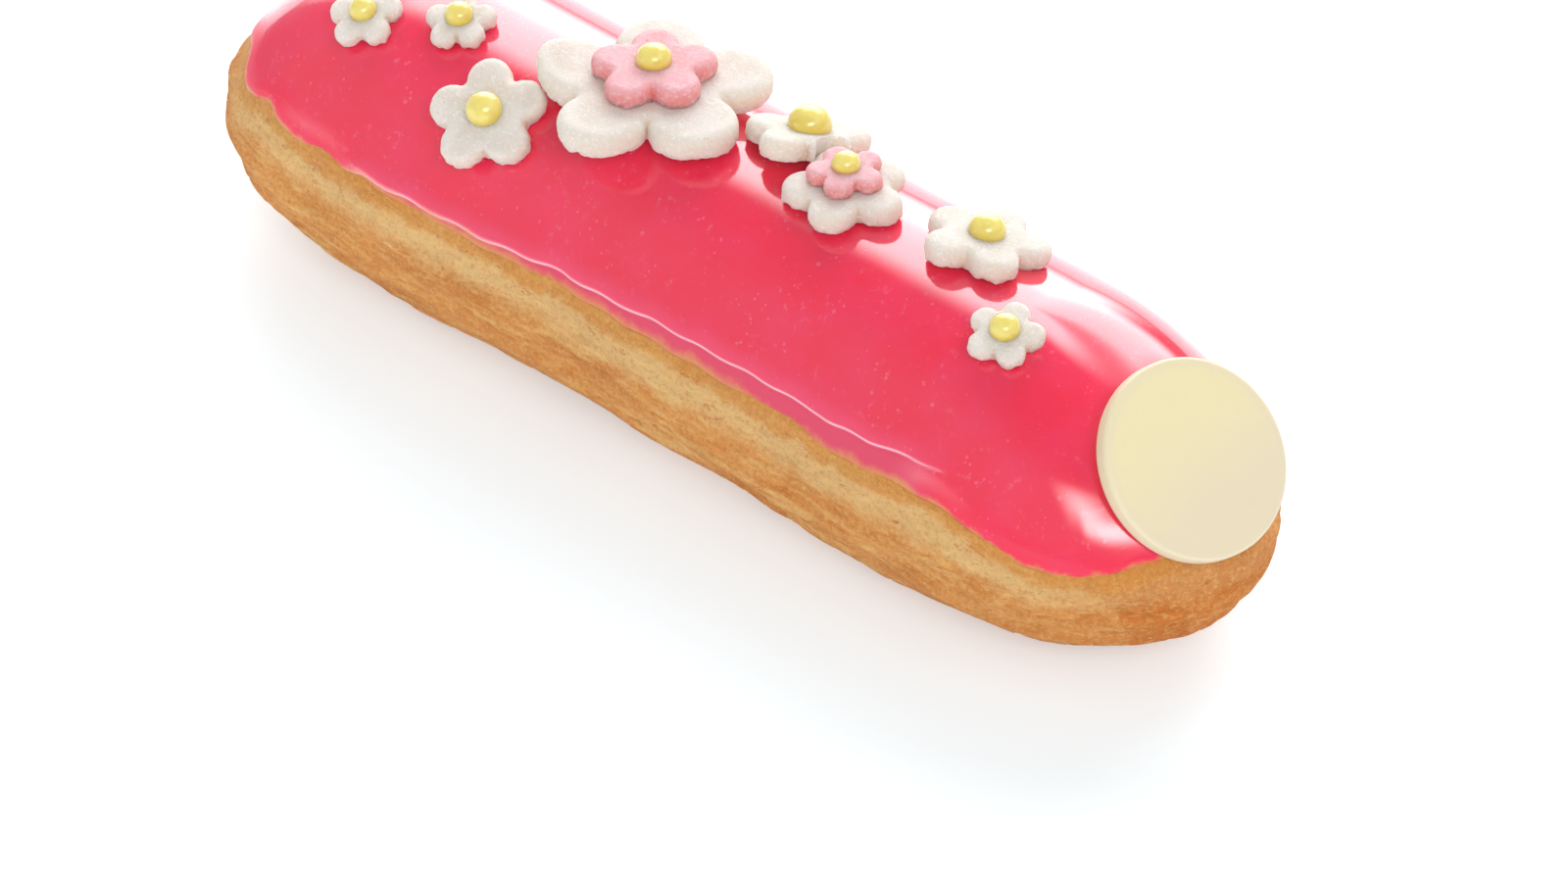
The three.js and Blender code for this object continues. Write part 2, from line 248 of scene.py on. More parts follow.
def wrap_grid(name: str, places: np.ndarray, marks: dict[str, np.ndarray]) -> bpy.types.Object:
    """Wraps a grid primitive round a closed form.

    Args:
        name: the piece's name.
        places: ring by ring from the top, the points round each ring.
        marks: values to keep on the points, ring by ring as places is.

    Returns:
        The piece in millimetres, closed where its rings close up and with its faces outwards.
    """
    rings, around = places.shape[:2]
    object_mode()
    bpy.ops.mesh.primitive_grid_add(x_subdivisions=around, y_subdivisions=rings - 1, size=1)
    piece = bpy.context.object
    piece.name = name
    mesh = piece.data
    mesh.name = name
    flat = np.empty(len(mesh.vertices) * 3)
    mesh.vertices.foreach_get("co", flat)
    flat = flat.reshape(-1, 3)
    along = np.rint((flat[:, 0] + 0.5) * around).astype(int) % around
    down = np.rint((0.5 - flat[:, 1]) * (rings - 1)).astype(int)
    mesh.vertices.foreach_set("co", places[down, along].ravel())
    for mark, values in marks.items():
        kept = mesh.attributes.new(mark, "FLOAT", "POINT")
        kept.data.foreach_set("value", values[down, along].astype(np.float32))
    bpy.ops.object.mode_set(mode="EDIT")
    bpy.ops.mesh.select_all(action="SELECT")
    bpy.ops.mesh.remove_doubles(threshold=MERGE)
    bpy.ops.mesh.normals_make_consistent(inside=False)
    bpy.ops.object.mode_set(mode="OBJECT")
    smooth_faces(piece)
    return piece


def dress(
    piece: bpy.types.Object,
    material: bpy.types.Material,
    node: str,
    where: Matrix | None = None,
) -> bpy.types.Object:
    """Places a piece, gives it its finish, and lets it stand for its CAD node.

    Args:
        piece: the piece, in millimetres.
        material: its finish.
        node: the CAD node that it replaces.
        where: its place, where it isn't modelled in place.

    Returns:
        The piece, in metres.
    """
    piece.data.transform(TO_METRES if where is None else TO_METRES @ where)
    piece.data.update()
    piece.data.materials.append(material)
    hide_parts(node)
    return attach(piece, BODY)


# ---------------------------------------------------------------- the loaf's form


@dataclass(frozen=True)
class LoafEnd:
    """One rounded end: its length, the powers of its plan and profiles, and its glaze's height."""

    reach: float
    plan: float
    crown: float
    foot: float
    edge: float


@dataclass(frozen=True)
class Swell:
    """A soft swelling of one side: its place along X, how far out, and its half length."""

    side: Side
    x: float
    out: float
    half: float


@dataclass(frozen=True)
class Run:
    """A run or draw of the glaze's edge: its place along X, its drop, and its half width."""

    side: Side
    x: float
    drop: float
    half: float


@dataclass(frozen=True)
class Stations:
    """Places round the plan, and what the form needs at each.

    They hold where the spine stands, how far the end reaches out from it along X, the side and the
    share of its half width, how much the place faces the tip, and the powers and glaze height there.
    """

    spine_x: np.ndarray
    out_x: np.ndarray
    side: np.ndarray
    across: np.ndarray
    facing: np.ndarray
    crown: np.ndarray
    foot: np.ndarray
    edge: np.ndarray


@dataclass(frozen=True)
class Loaf:
    """The loaf's outer form, glaze included, on which every piece is laid."""

    length: float = 140
    width: float = 39.8
    height: float = 32
    waist: float = 13.4
    foot_press: float = 0.45
    plain: float = 2
    underside: float = 2.53
    bend_even: float = -0.16
    bend_odd: float = -0.56
    end_steps: int = 28
    side_steps: int = 26
    glaze_line: float = 19.25
    edge_ripple: float = 0.12
    edge_pace: float = 0.9
    end_blend: float = 0.5
    left: LoafEnd = LoafEnd(26.8, 2.74, 1.93, 1.87, 21.4)
    right: LoafEnd = LoafEnd(30.1, 2.01, 1.53, 2.37, 18)
    swells: tuple[Swell, ...] = (
        Swell(Side.NEAR, -49, -0.4, 7),
        Swell(Side.NEAR, -36, 0.28, 9),
        Swell(Side.NEAR, -9, -0.4, 11),
        Swell(Side.NEAR, 33, 0.3, 7),
        Swell(Side.NEAR, 51, 0.3, 5),
        Swell(Side.FAR, -28, -0.35, 12),
        Swell(Side.FAR, 13, -0.5, 9),
        Swell(Side.FAR, 36, 0.35, 6),
    )
    runs: tuple[Run, ...] = (
        Run(Side.NEAR, 58.8, 3.8, 9.5),
        Run(Side.NEAR, 28.5, 0.8, 10.4),
        Run(Side.NEAR, -56.7, -1.4, 2.3),
        Run(Side.NEAR, -65.8, -2.4, 3.2),
        Run(Side.FAR, 64, 1.6, 5),
        Run(Side.FAR, 22, 1.1, 7),
        Run(Side.FAR, -12, -0.7, 9),
        Run(Side.FAR, -47, 1.5, 6),
    )

    @property
    def steps(self) -> int:
        """Steps round the whole plan."""
        return 2 * (self.end_steps + self.side_steps)

    @property
    def arc(self) -> float:
        """Millimetres of surface to a radian of the profile."""
        return self.width / 2

    def places(self, count: int) -> np.ndarray:
        """That many places, evenly round the plan."""
        return np.arange(count) * self.steps / count

    def stations(self, place: np.ndarray) -> Stations:
        """The stations at places round the plan.

        Args:
            place: 0 at the right tip, then by the far side to the left tip and back, up to steps.

        Returns:
            The stations, in the same order.
        """
        half = self.steps / 2
        rounding = self.end_steps / 2
        place = np.mod(place, self.steps)
        side = np.where(place <= half, 1.0, -1.0)
        step = np.where(place <= half, place, self.steps - place)
        at_right = step < rounding
        at_left = step > half - rounding
        at_end = at_right | at_left
        angle = np.clip(np.where(at_right, step, half - step) / rounding, 0, 1) * np.pi / 2
        plan = np.where(at_left, self.left.plan, self.right.plan)
        cosine, sine = np.cos(angle), np.sin(angle)
        size = (cosine**plan + sine**plan) ** (1 / plan)
        right_x = self.length / 2 - self.right.reach
        left_x = -self.length / 2 + self.left.reach
        along = (step - rounding) / (half - self.end_steps)
        spine = right_x + (left_x - right_x) * np.clip(along, 0, 1)
        reach = np.where(at_left, -self.left.reach, self.right.reach)
        return Stations(
            spine_x=spine,
            out_x=np.where(at_end, reach * cosine / size, 0.0),
            side=side,
            across=np.where(at_end, sine / size, 1.0),
            facing=np.where(at_end, cosine**2, 0.0),
            crown=np.where(at_left, self.left.crown, self.right.crown),
            foot=np.where(at_left, self.left.foot, self.right.foot),
            edge=np.where(at_left, self.left.edge, self.right.edge),
        )

    def half_width(self, x: np.ndarray, side: np.ndarray) -> np.ndarray:
        """Half the width at a place along X, on the side of that sign.

        Args:
            x: the place.
            side: the sign of Y on that side.

        Returns:
            Widths in millimetres, out from the spine.
        """
        total = np.full(np.broadcast(x, side).shape, self.width / 2)
        for swell in self.swells:
            out = swell.out * bell(x - swell.x, swell.half)
            total = total + np.where(side == swell.side.value, out, 0)
        return total

    def bend(self, x: np.ndarray | float) -> np.ndarray | float:
        """Sideways drift of the spine at a place along X."""
        along = x / (self.length / 2)
        return self.bend_even * along**2 + self.bend_odd * along**3

    def point(self, place: np.ndarray, down: np.ndarray) -> np.ndarray:
        """Points of the form.

        Args:
            place: places round the plan.
            down: angles down from the crown.

        Returns:
            Points in millimetres, three to a place.
        """
        at = self.stations(place)
        upper = down <= np.pi / 2
        side = np.where(upper, self.plain, self.underside)
        tip = np.where(upper, at.crown, at.foot)
        power = side + (tip - side) * at.facing
        cosine, sine = np.cos(down), np.sin(down)
        size = (np.abs(cosine) ** power + np.abs(sine) ** power) ** (1 / power)
        rise, out = cosine / size, sine / size
        x = at.spine_x + at.out_x * out
        y = at.side * at.across * out * self.half_width(x, at.side) + self.bend(x)
        above = self.waist + (self.height - self.waist) * rise
        below = np.maximum(0, self.waist + (self.waist + self.foot_press) * rise)
        return np.stack([x, y, np.where(upper, above, below)], -1)

    def normal(self, place: np.ndarray, down: np.ndarray) -> np.ndarray:
        """Outward directions of the form, at the same places as point.

        Args:
            place: places round the plan.
            down: angles down from the crown.

        Returns:
            Unit vectors, three numbers to a place.
        """
        turn, tilt = 0.02, 0.01
        held = np.clip(down, 3 * tilt, np.pi - 3 * tilt)
        around = self.point(place + turn, held) - self.point(place - turn, held)
        downward = self.point(place, held + tilt) - self.point(place, held - tilt)
        out = np.cross(downward, around)
        return out / np.maximum(np.linalg.norm(out, axis=-1, keepdims=True), TINY)

    def edge_angle(self, place: np.ndarray) -> np.ndarray:
        """Angles down from the crown at which the glaze ends.

        Args:
            place: places round the plan.

        Returns:
            One angle for each place.
        """
        at = self.stations(place)
        x = at.spine_x + at.out_x
        along = self.glaze_line + self.edge_ripple * np.sin(self.edge_pace * x + at.side)
        for run in self.runs:
            drop = run.drop * bell(x - run.x, run.half)
            along = along - np.where(at.side == run.side.value, drop, 0)
        height = at.edge + (along - at.edge) * smooth(at.across, 0, self.end_blend)
        rise = (height - self.waist) / (self.height - self.waist)
        power = self.plain + (at.crown - self.plain) * at.facing
        return np.arctan((rise**-power - 1) ** (1 / power))

    def crown_height(self, x: float, y: float) -> float:
        """Height of the glazed crown over a place in plan.

        Args:
            x: the place along X.
            y: the place along Y.

        Returns:
            The height in millimetres, down to the waist's where the loaf ends.
        """
        end = self.right if x > 0 else self.left
        past = max(0.0, abs(x) - (self.length / 2 - end.reach)) / end.reach
        side = 1 if y > 0 else -1
        across = abs(y - self.bend(x)) / float(self.half_width(np.array(x), np.array(side)))
        out = (past**end.plan + across**end.plan) ** (1 / end.plan)
        facing = past**2 / (past**2 + across**2) if past > 0 else 0
        power = self.plain + (end.crown - self.plain) * facing
        rise = max(0.0, 1 - out**power) ** (1 / power)
        return self.waist + (self.height - self.waist) * rise

    def crown_normal(self, x: float, y: float) -> Vector:
        """Outward direction of the glazed crown over a place in plan.

        Args:
            x: the place along X.
            y: the place along Y.

        Returns:
            The direction, one long.
        """
        step = 0.5
        slope_x = (self.crown_height(x + step, y) - self.crown_height(x - step, y)) / (2 * step)
        slope_y = (self.crown_height(x, y + step) - self.crown_height(x, y - step)) / (2 * step)
        return Vector((-slope_x, -slope_y, 1)).normalized()


# ---------------------------------------------------------------- finishes

# A Mix node's colour sockets.
MIX_UNDER, MIX_OVER, MIX_RESULT = 6, 7, 2


def srgb(red: float, green: float, blue: float) -> Colour:
    """A shader colour from the 0 to 255 values of a picture.

    Args:
        red: its red.
        green: its green.
        blue: its blue.

    Returns:
        Linear red, green, blue and alpha.
    """
    shares = [v / 255 for v in (red, green, blue)]
    linear = [v / 12.92 if v <= 0.04045 else ((v + 0.055) / 1.055) ** 2.4 for v in shares]
    return (*linear, 1.0)


@dataclass(frozen=True)
class Step:
    """A smooth step: where it starts and ends, and what it gives before and after."""

    start: float
    end: float
    before: float = 0.0
    after: float = 1.0


@dataclass(frozen=True)
class Grain:
    """Noise in a finish, from 0 to 1 about 0.5.

    It holds the size of its lumps in millimetres, its layers, their share of the last, how much it is
    warped, and how often its lumps repeat along each axis, against plain noise.
    """

    size: float
    layers: float = 2.0
    rough: float = 0.5
    warp: float = 0.0
    stretch: Triple = EVEN


@dataclass(frozen=True)
class Relief:
    """Relief in a finish: its depth in millimetres, and its strength."""

    depth: float
    strength: float


class Nodes:
    """Adds nodes to one tree and joins them."""

    def __init__(self, tree: bpy.types.NodeTree) -> None:
        """Takes the tree that the nodes go into."""
        self.tree = tree

    def add(self, kind: str, inputs: Inputs | None = None, **settings: Any) -> bpy.types.Node:
        """Adds a node.

        Args:
            kind: Blender's name of the node's type.
            inputs: what goes into each socket, a value or another node's socket.
            settings: the node's own properties.

        Returns:
            The node.
        """
        node = self.tree.nodes.new(kind)
        for key, value in settings.items():
            setattr(node, key, value)
        for key, value in (inputs or {}).items():
            self.join(value, node.inputs[key])
        return node

    def join(self, value: Value, socket: Socket) -> None:
        """Sets a socket to a value, or links it to another socket.

        Args:
            value: the value or the other socket.
            socket: the socket to set or link.
        """
        if isinstance(value, Socket):
            self.tree.links.new(value, socket)
        else:
            socket.default_value = value

    def maths(self, operation: str, first: Value, second: Value = 0.0) -> Socket:
        """One operation on one or two values."""
        return self.add("ShaderNodeMath", {0: first, 1: second}, operation=operation).outputs[0]

    def plus(self, first: Value, second: Value) -> Socket:
        """The sum of two values."""
        return self.maths("ADD", first, second)

    def minus(self, first: Value, second: Value) -> Socket:
        """The difference of two values."""
        return self.maths("SUBTRACT", first, second)

    def inverse(self, value: Value) -> Socket:
        """What a value lacks of 1."""
        return self.minus(1.0, value)

    def times(self, first: Value, *others: Value) -> Value:
        """The product of values.

        Args:
            first: the first value.
            others: the values to multiply it by.

        Returns:
            The last product's socket.
        """
        for other in others:
            first = self.maths("MULTIPLY", first, other)
        return first

    def sway(self, value: Value, grain: Value, by: float) -> Socket:
        """A value moved up and down by a grain about 0.5."""
        return self.plus(value, self.times(self.minus(grain, 0.5), by))

    def step(self, value: Value, step: Step) -> Socket:
        """A smooth step of a value.

        Args:
            value: the value.
            step: where the step lies and what it gives.

        Returns:
            What the step gives.
        """
        inputs = {
            "Value": value,
            "From Min": step.start,
            "From Max": step.end,
            "To Min": step.before,
            "To Max": step.after,
        }
        node = self.add("ShaderNodeMapRange", inputs, interpolation_type="SMOOTHSTEP")
        return node.outputs["Result"]


class Mixer(Nodes):
    """Mixes the nodes of one material."""

    def __init__(self, name: str) -> None:
        """Starts a material with a Principled shader.

        Args:
            name: the material's name.
        """
        self.material = bpy.data.materials.new(name)
        self.material.use_nodes = True
        super().__init__(self.material.node_tree)
        self.shader = self.tree.nodes["Principled BSDF"]
        self.place = self.add("ShaderNodeTexCoord").outputs["Object"]

    def mark(self, name: str) -> Socket:
        """The value kept on the mesh's points under that name."""
        return self.add("ShaderNodeAttribute", attribute_name=name).outputs["Fac"]

    def stretched(self, stretch: Triple) -> Socket:
        """Object coordinates, scaled along each axis.

        Args:
            stretch: the scale along each axis.

        Returns:
            The coordinates, plain where the scale is even.
        """
        if stretch == EVEN:
            return self.place
        return self.add("ShaderNodeMapping", {"Vector": self.place, "Scale": stretch}).outputs["Vector"]

    def grain(self, grain: Grain) -> Socket:
        """The noise of a grain.

        Args:
            grain: its size and kind.

        Returns:
            Values from 0 to 1 about 0.5.
        """
        inputs = {
            "Vector": self.stretched(grain.stretch),
            "Scale": 1 / (grain.size * MM),
            "Detail": grain.layers,
            "Roughness": grain.rough,
            "Distortion": grain.warp,
        }
        return self.add("ShaderNodeTexNoise", inputs).outputs["Fac"]

    def spots(self, apart: float, size: Value, fade: Step, stretch: Triple = EVEN) -> Socket:
        """Scattered round spots.

        Args:
            apart: how far apart they lie, in millimetres.
            size: their radius, as a share of that.
            fade: how they end, by the share past that radius.
            stretch: how often they repeat along each axis, against even spots.

        Returns:
            Their strength.
        """
        inputs = {"Vector": self.stretched(stretch), "Scale": 1 / (apart * MM)}
        distance = self.add("ShaderNodeTexVoronoi", inputs, feature="F1").outputs["Distance"]
        return self.step(self.minus(distance, size), fade)

    def blend(self, share: Value, under: Value, over: Value) -> Socket:
        """A share of one colour over another.

        Args:
            share: how much of the upper colour shows.
            under: the lower colour.
            over: the upper colour.

        Returns:
            The mixed colour.
        """
        node = self.add("ShaderNodeMix", {"Factor": share}, data_type="RGBA", blend_type="MIX")
        self.join(under, node.inputs[MIX_UNDER])
        self.join(over, node.inputs[MIX_OVER])
        return node.outputs[MIX_RESULT]

    def coat(self, under: Value, over: Value, value: Value, step: Step) -> Socket:
        """One colour over another, by a smooth step of a value."""
        return self.blend(self.step(value, step), under, over)

    def bump(self, height: Value, relief: Relief, under: Socket | None = None) -> Socket:
        """Relief of a value, over other relief if there is any.

        Args:
            height: the value that gives its height.
            relief: its depth and strength.
            under: the relief that it lies on.

        Returns:
            The bumped normal.
        """
        inputs: Inputs = {
            "Height": height,
            "Distance": relief.depth * MM,
            "Strength": relief.strength,
        }
        if under is not None:
            inputs["Normal"] = under
        return self.add("ShaderNodeBump", inputs).outputs["Normal"]

    def finish(self, colour: Value, normal: Value | None = None, **sockets: Value) -> bpy.types.Material:
        """Joins the shader's sockets.

        Args:
            colour: the base colour.
            normal: the relief, if any.
            sockets: other sockets, with _ for a space.

        Returns:
            The material.
        """
        self.join(colour, self.shader.inputs["Base Color"])
        if normal is not None:
            self.join(normal, self.shader.inputs["Normal"])
        for name, value in sockets.items():
            self.join(value, self.shader.inputs[name.replace("_", " ")])
        return self.material


@dataclass(frozen=True)
class CrustFinish:
    """Baked choux: golden tan with pale streaks, an amber rim, a crackled cream band, and a foot darker
    towards the floor, partly baked brown and partly painted shade where the crust curves under.
    """

    tan: Colour = srgb(240, 164, 90)
    light: Colour = srgb(252, 204, 130)
    deep: Colour = srgb(212, 128, 60)
    amber: Colour = srgb(234, 160, 76)
    toast: Colour = srgb(216, 116, 36)
    cream: Colour = srgb(252, 214, 150)
    crack: Colour = srgb(204, 96, 44)
    # Foot colours: partly baked brown, partly painted shade where the crust curves under.
    brown: Colour = srgb(192, 108, 44)
    deepest_brown: Colour = srgb(130, 58, 20)
    mottle: Grain = Grain(6, 4, 0.6, 0.4, (0.5, 0.7, 1.0))
    side_streaks: Grain = Grain(2.4, 6, 0.62, 0.8, (0.22, 0.5, 1.1))
    end_streaks: Grain = Grain(3.6, 5, 0.6, 0.5, (1.0, 1.0, 0.3))
    fibre: Grain = Grain(0.9, 6, 0.7, 0.5, (0.4, 0.6, 1.1))
    fine: Grain = Grain(0.5, 5, 0.75)
    ragged: Grain = Grain(3.4, 4, 0.65)
    ragged_by: float = 4.5
    mottled: Step = Step(0.34, 0.56, 0.3, 1)
    streaked: Step = Step(0.5, 0.66, 0, 0.75)
    shaded: Step = Step(0.56, 0.7, 0, 0.45)
    toasted: float = 0.7
    pale_fibre: Step = Step(0.52, 0.64, 0, 0.4)
    deep_fibre: Step = Step(0.52, 0.64, 0, 0.35)
    speckled: Step = Step(0.5, 0.64, 0, 0.4)
    band_top: Step = Step(0.6, 2.0)
    band_foot: Step = Step(3.6, 6.8, 1, 0)
    band_at_ends: Step = Step(0, 1, 1, 0.3)
    band_share: float = 0.7
    rim: Step = Step(1.2, 2.4, 0.7, 0)
    crack_lines: Grain = Grain(1.7, 5, 0.68, 0.9, (0.45, 0.7, 1.0))
    crack_width: Step = Step(0, 0.016, 1, 0)
    crack_patches: Grain = Grain(3, 2, 0.6, 0, (0.6, 0.7, 1.5))
    in_patch: Step = Step(0.54, 0.64)
    in_band: float = 0.9
    off_band: float = 0.16
    cracked: Step = Step(0.05, 0.5, 0, 0.85)
    pit_patches: Grain = Grain(7, 1)
    pit_size: Step = Step(0.5, 0.66, 0, 0.16)
    pit_rough: float = 0.12
    pit_gap: float = 3.4
    pit_fade: Step = Step(-0.05, 0.02, 0.7, 0)
    pit_stretch: Triple = (0.8, 0.9, 1.3)
    foot_by: float = 8
    foot_brown_and_shade: Step = Step(0.5, 9.5, 0.85, 0)
    foot_edge_brown_and_shade: Step = Step(-1.2, 2.6, 0.85, 0)
    streak_relief: Relief = Relief(0.6, 0.6)
    fibre_relief: Relief = Relief(0.5, 0.8)
    fine_relief: Relief = Relief(0.3, 0.9)
    matt: Step = Step(0.6, 2.6, 0.5, 0.8)

    def cracks(self, mix: Mixer, band: Socket) -> Socket:
        """How cracked the crust is, mostly in the band under the glaze.

        Args:
            mix: the material's nodes.
            band: how much of the band is there.

        Returns:
            A value from 0 to about 1.
        """
        ridge = mix.maths("ABSOLUTE", mix.minus(mix.grain(self.crack_lines), 0.5))
        patch = mix.step(mix.grain(self.crack_patches), self.in_patch)
        share = mix.plus(mix.times(band, self.in_band), mix.times(patch, self.off_band))
        return mix.times(mix.step(ridge, self.crack_width), patch, share)

    def material(self) -> bpy.types.Material:
        """Builds the finish.

        Returns:
            The material.
        """
        mix = Mixer("choux_crust")
        below, height, end = mix.mark("below"), mix.mark("height"), mix.mark("end")
        side_streaks, end_streaks = mix.grain(self.side_streaks), mix.grain(self.end_streaks)
        streaks = mix.plus(side_streaks, mix.times(end, mix.minus(end_streaks, side_streaks)))
        fibre, fine = mix.grain(self.fibre), mix.grain(self.fine)
        colour = mix.coat(self.deep, self.tan, mix.grain(self.mottle), self.mottled)
        colour = mix.coat(colour, self.light, streaks, self.streaked)
        colour = mix.coat(colour, self.deep, mix.inverse(streaks), self.shaded)
        colour = mix.blend(mix.times(end, self.toasted), colour, self.toast)
        colour = mix.coat(colour, self.light, fibre, self.pale_fibre)
        colour = mix.coat(colour, self.deep, mix.inverse(fibre), self.deep_fibre)
        wander = mix.sway(below, mix.grain(self.ragged), self.ragged_by)
        in_band = mix.times(mix.step(wander, self.band_top), mix.step(wander, self.band_foot))
        band = mix.times(in_band, mix.step(end, self.band_at_ends))
        colour = mix.blend(mix.times(band, self.band_share), colour, self.cream)
        colour = mix.coat(colour, self.amber, wander, self.rim)
        colour = mix.coat(colour, self.crack, self.cracks(mix, band), self.cracked)
        pitted = mix.step(mix.grain(self.pit_patches), self.pit_size)
        pit_size = mix.minus(pitted, mix.times(fine, self.pit_rough))
        in_pit = mix.spots(self.pit_gap, pit_size, self.pit_fade, self.pit_stretch)
        colour = mix.blend(in_pit, colour, self.crack)
        # Darker towards the foot and darkest at its lowest edge: partly baked brown, partly painted
        # shade.
        foot = mix.sway(height, streaks, self.foot_by)
        colour = mix.coat(colour, self.brown, foot, self.foot_brown_and_shade)
        colour = mix.coat(colour, self.deepest_brown, foot, self.foot_edge_brown_and_shade)
        colour = mix.coat(colour, self.deep, fine, self.speckled)
        colour = mix.coat(colour, self.light, mix.inverse(fine), self.speckled)
        relief = mix.bump(streaks, self.streak_relief)
        relief = mix.bump(fibre, self.fibre_relief, relief)
        relief = mix.bump(fine, self.fine_relief, relief)
        return mix.finish(
            colour,
            relief,
            Roughness=mix.step(wander, self.matt),
            Specular_IOR_Level=0.25,
            Subsurface_Weight=0.06,
            Subsurface_Radius=(1.0, 0.5, 0.25),
            Subsurface_Scale=0.0012,
        )


@dataclass(frozen=True)
class GlazeFinish:
    """Poured sugar glaze: a bright pink with tiny bubbles, mauve where it thins to a film, with a painted
    highlight and painted glow along its bead and painted shade under it.
    """

    pink: Colour = srgb(246, 34, 74)
    rosy: Colour = srgb(246, 42, 86)
    # Painted glow: brighter pink laid round the bead, standing in for its reflection of the low light.
    bright: Colour = srgb(252, 80, 122)
    # Painted highlight: the near-white pink line laid on the bead's lip.
    painted_bead_highlight: Colour = srgb(255, 196, 212)
    shade: Colour = srgb(220, 44, 84)
    film: Colour = srgb(224, 52, 92)
    rim: Colour = srgb(228, 138, 84)
    speck: Colour = srgb(255, 122, 150)
    mottle: Grain = Grain(8, 3, 0.55)
    mottled: Step = Step(0.4, 0.62)
    bubbly: Grain = Grain(3, 2)
    bubble_size: Step = Step(0.42, 0.7, 0.02, 0.2)
    small_gap: float = 0.95
    small_fade: Step = Step(-0.06, 0.06, 0.4, 0)
    broad_gap: float = 2.3
    broad_size: float = 0.7
    broad_fade: Step = Step(-0.06, 0.05, 0.5, 0)
    cloud: Grain = Grain(0.8, 3, 0.6)
    cloudy: Step = Step(0.56, 0.72)
    cloud_patches: Grain = Grain(5, 2)
    in_patch: Step = Step(0.42, 0.6)
    cloud_share: float = 0.3
    painted_glow: Grain = Grain(4, 2)
    painted_glow_by: float = 1.6
    painted_glowing: Step = Step(0.4, 3, 0.6, 0)
    film_end: Step = Step(-0.1, 0.16, 1, 0)
    film_share: float = 0.85
    bead_highlight_foot: Step = Step(0.02, 0.2)
    bead_highlight_top: Step = Step(0.24, 0.55, 1, 0)
    bead_highlight_share: float = 0.8
    shade_foot: Step = Step(-0.45, -0.1)
    shade_top: Step = Step(-0.06, 0.08, 1, 0)
    shade_share: float = 0.3
    thin: Grain = Grain(2.2, 4, 0.6)
    thin_by: float = 2.4
    rim_width: Pair = (0.8, 0.7)
    thinned: Step = Step(0, 1, 1, 0)
    bubble_relief: Relief = Relief(0.02, 0.3)
    dull_edge: Step = Step(0.8, 4.6, 1, 0)
    off_bead: Step = Step(0.3, 1, 1, 0)
    wet: float = 0.12
    dull_rough: float = 0.3
    dull_coat: float = 0.9

    def bubbles(self, mix: Mixer) -> Socket:
        """How much of a bubble is at each place, small and broad ones together.

        Args:
            mix: the material's nodes.

        Returns:
            A value from 0 to about 0.5.
        """
        size = mix.step(mix.grain(self.bubbly), self.bubble_size)
        small = mix.spots(self.small_gap, size, self.small_fade)
        broad = mix.spots(self.broad_gap, mix.times(size, self.broad_size), self.broad_fade)
        return mix.maths("MAXIMUM", small, broad)

    def material(self) -> bpy.types.Material:
        """Builds the finish.

        Returns:
            The material.
        """
        mix = Mixer("poured_pink_glaze")
        edge, past, bead = mix.mark("edge"), mix.mark("past"), mix.mark("bead")
        colour = mix.coat(self.pink, self.rosy, mix.grain(self.mottle), self.mottled)
        in_bubble = self.bubbles(mix)
        in_cloud = mix.step(mix.grain(self.cloud), self.cloudy)
        in_patch = mix.step(mix.grain(self.cloud_patches), self.in_patch)
        cloud = mix.times(in_cloud, in_patch, self.cloud_share)
        colour = mix.blend(in_bubble, mix.blend(cloud, colour, self.speck), self.speck)
        # Painted glow: brighter pink round the bead, fading a few millimetres above the film.
        painted_glow = mix.sway(past, mix.grain(self.painted_glow), self.painted_glow_by)
        colour = mix.blend(mix.times(bead, mix.step(painted_glow, self.painted_glowing)), colour, self.bright)
        on_film = mix.times(bead, mix.step(past, self.film_end))
        colour = mix.blend(mix.times(on_film, self.film_share), colour, self.film)
        # Painted highlight along the bead's lip.
        on_bead_highlight = mix.times(mix.step(past, self.bead_highlight_foot), mix.step(past, self.bead_highlight_top))
        colour = mix.blend(mix.times(on_bead_highlight, bead, self.bead_highlight_share), colour, self.painted_bead_highlight)
        under_lip = mix.times(mix.step(past, self.shade_foot), mix.step(past, self.shade_top))
        colour = mix.blend(mix.times(under_lip, bead, self.shade_share), colour, self.shade)
        thin = mix.sway(edge, mix.grain(self.thin), self.thin_by)
        least, more = self.rim_width
        width = mix.plus(least, mix.times(bead, more))
        colour = mix.coat(colour, self.rim, mix.maths("DIVIDE", thin, width), self.thinned)
        near_edge = mix.times(mix.step(edge, self.dull_edge), mix.step(bead, self.off_bead))
        dull = mix.maths("MAXIMUM", on_film, near_edge)
        return mix.finish(
            colour,
            mix.bump(in_bubble, self.bubble_relief),
            Roughness=mix.plus(self.wet, mix.times(dull, self.dull_rough)),
            IOR=1.5,
            Coat_Weight=mix.inverse(mix.times(dull, self.dull_coat)),
            Coat_Roughness=0.06,
            Coat_IOR=1.6,
            Subsurface_Weight=0.15,
            Subsurface_Radius=(1.0, 0.25, 0.35),
            Subsurface_Scale=0.0015,
        )


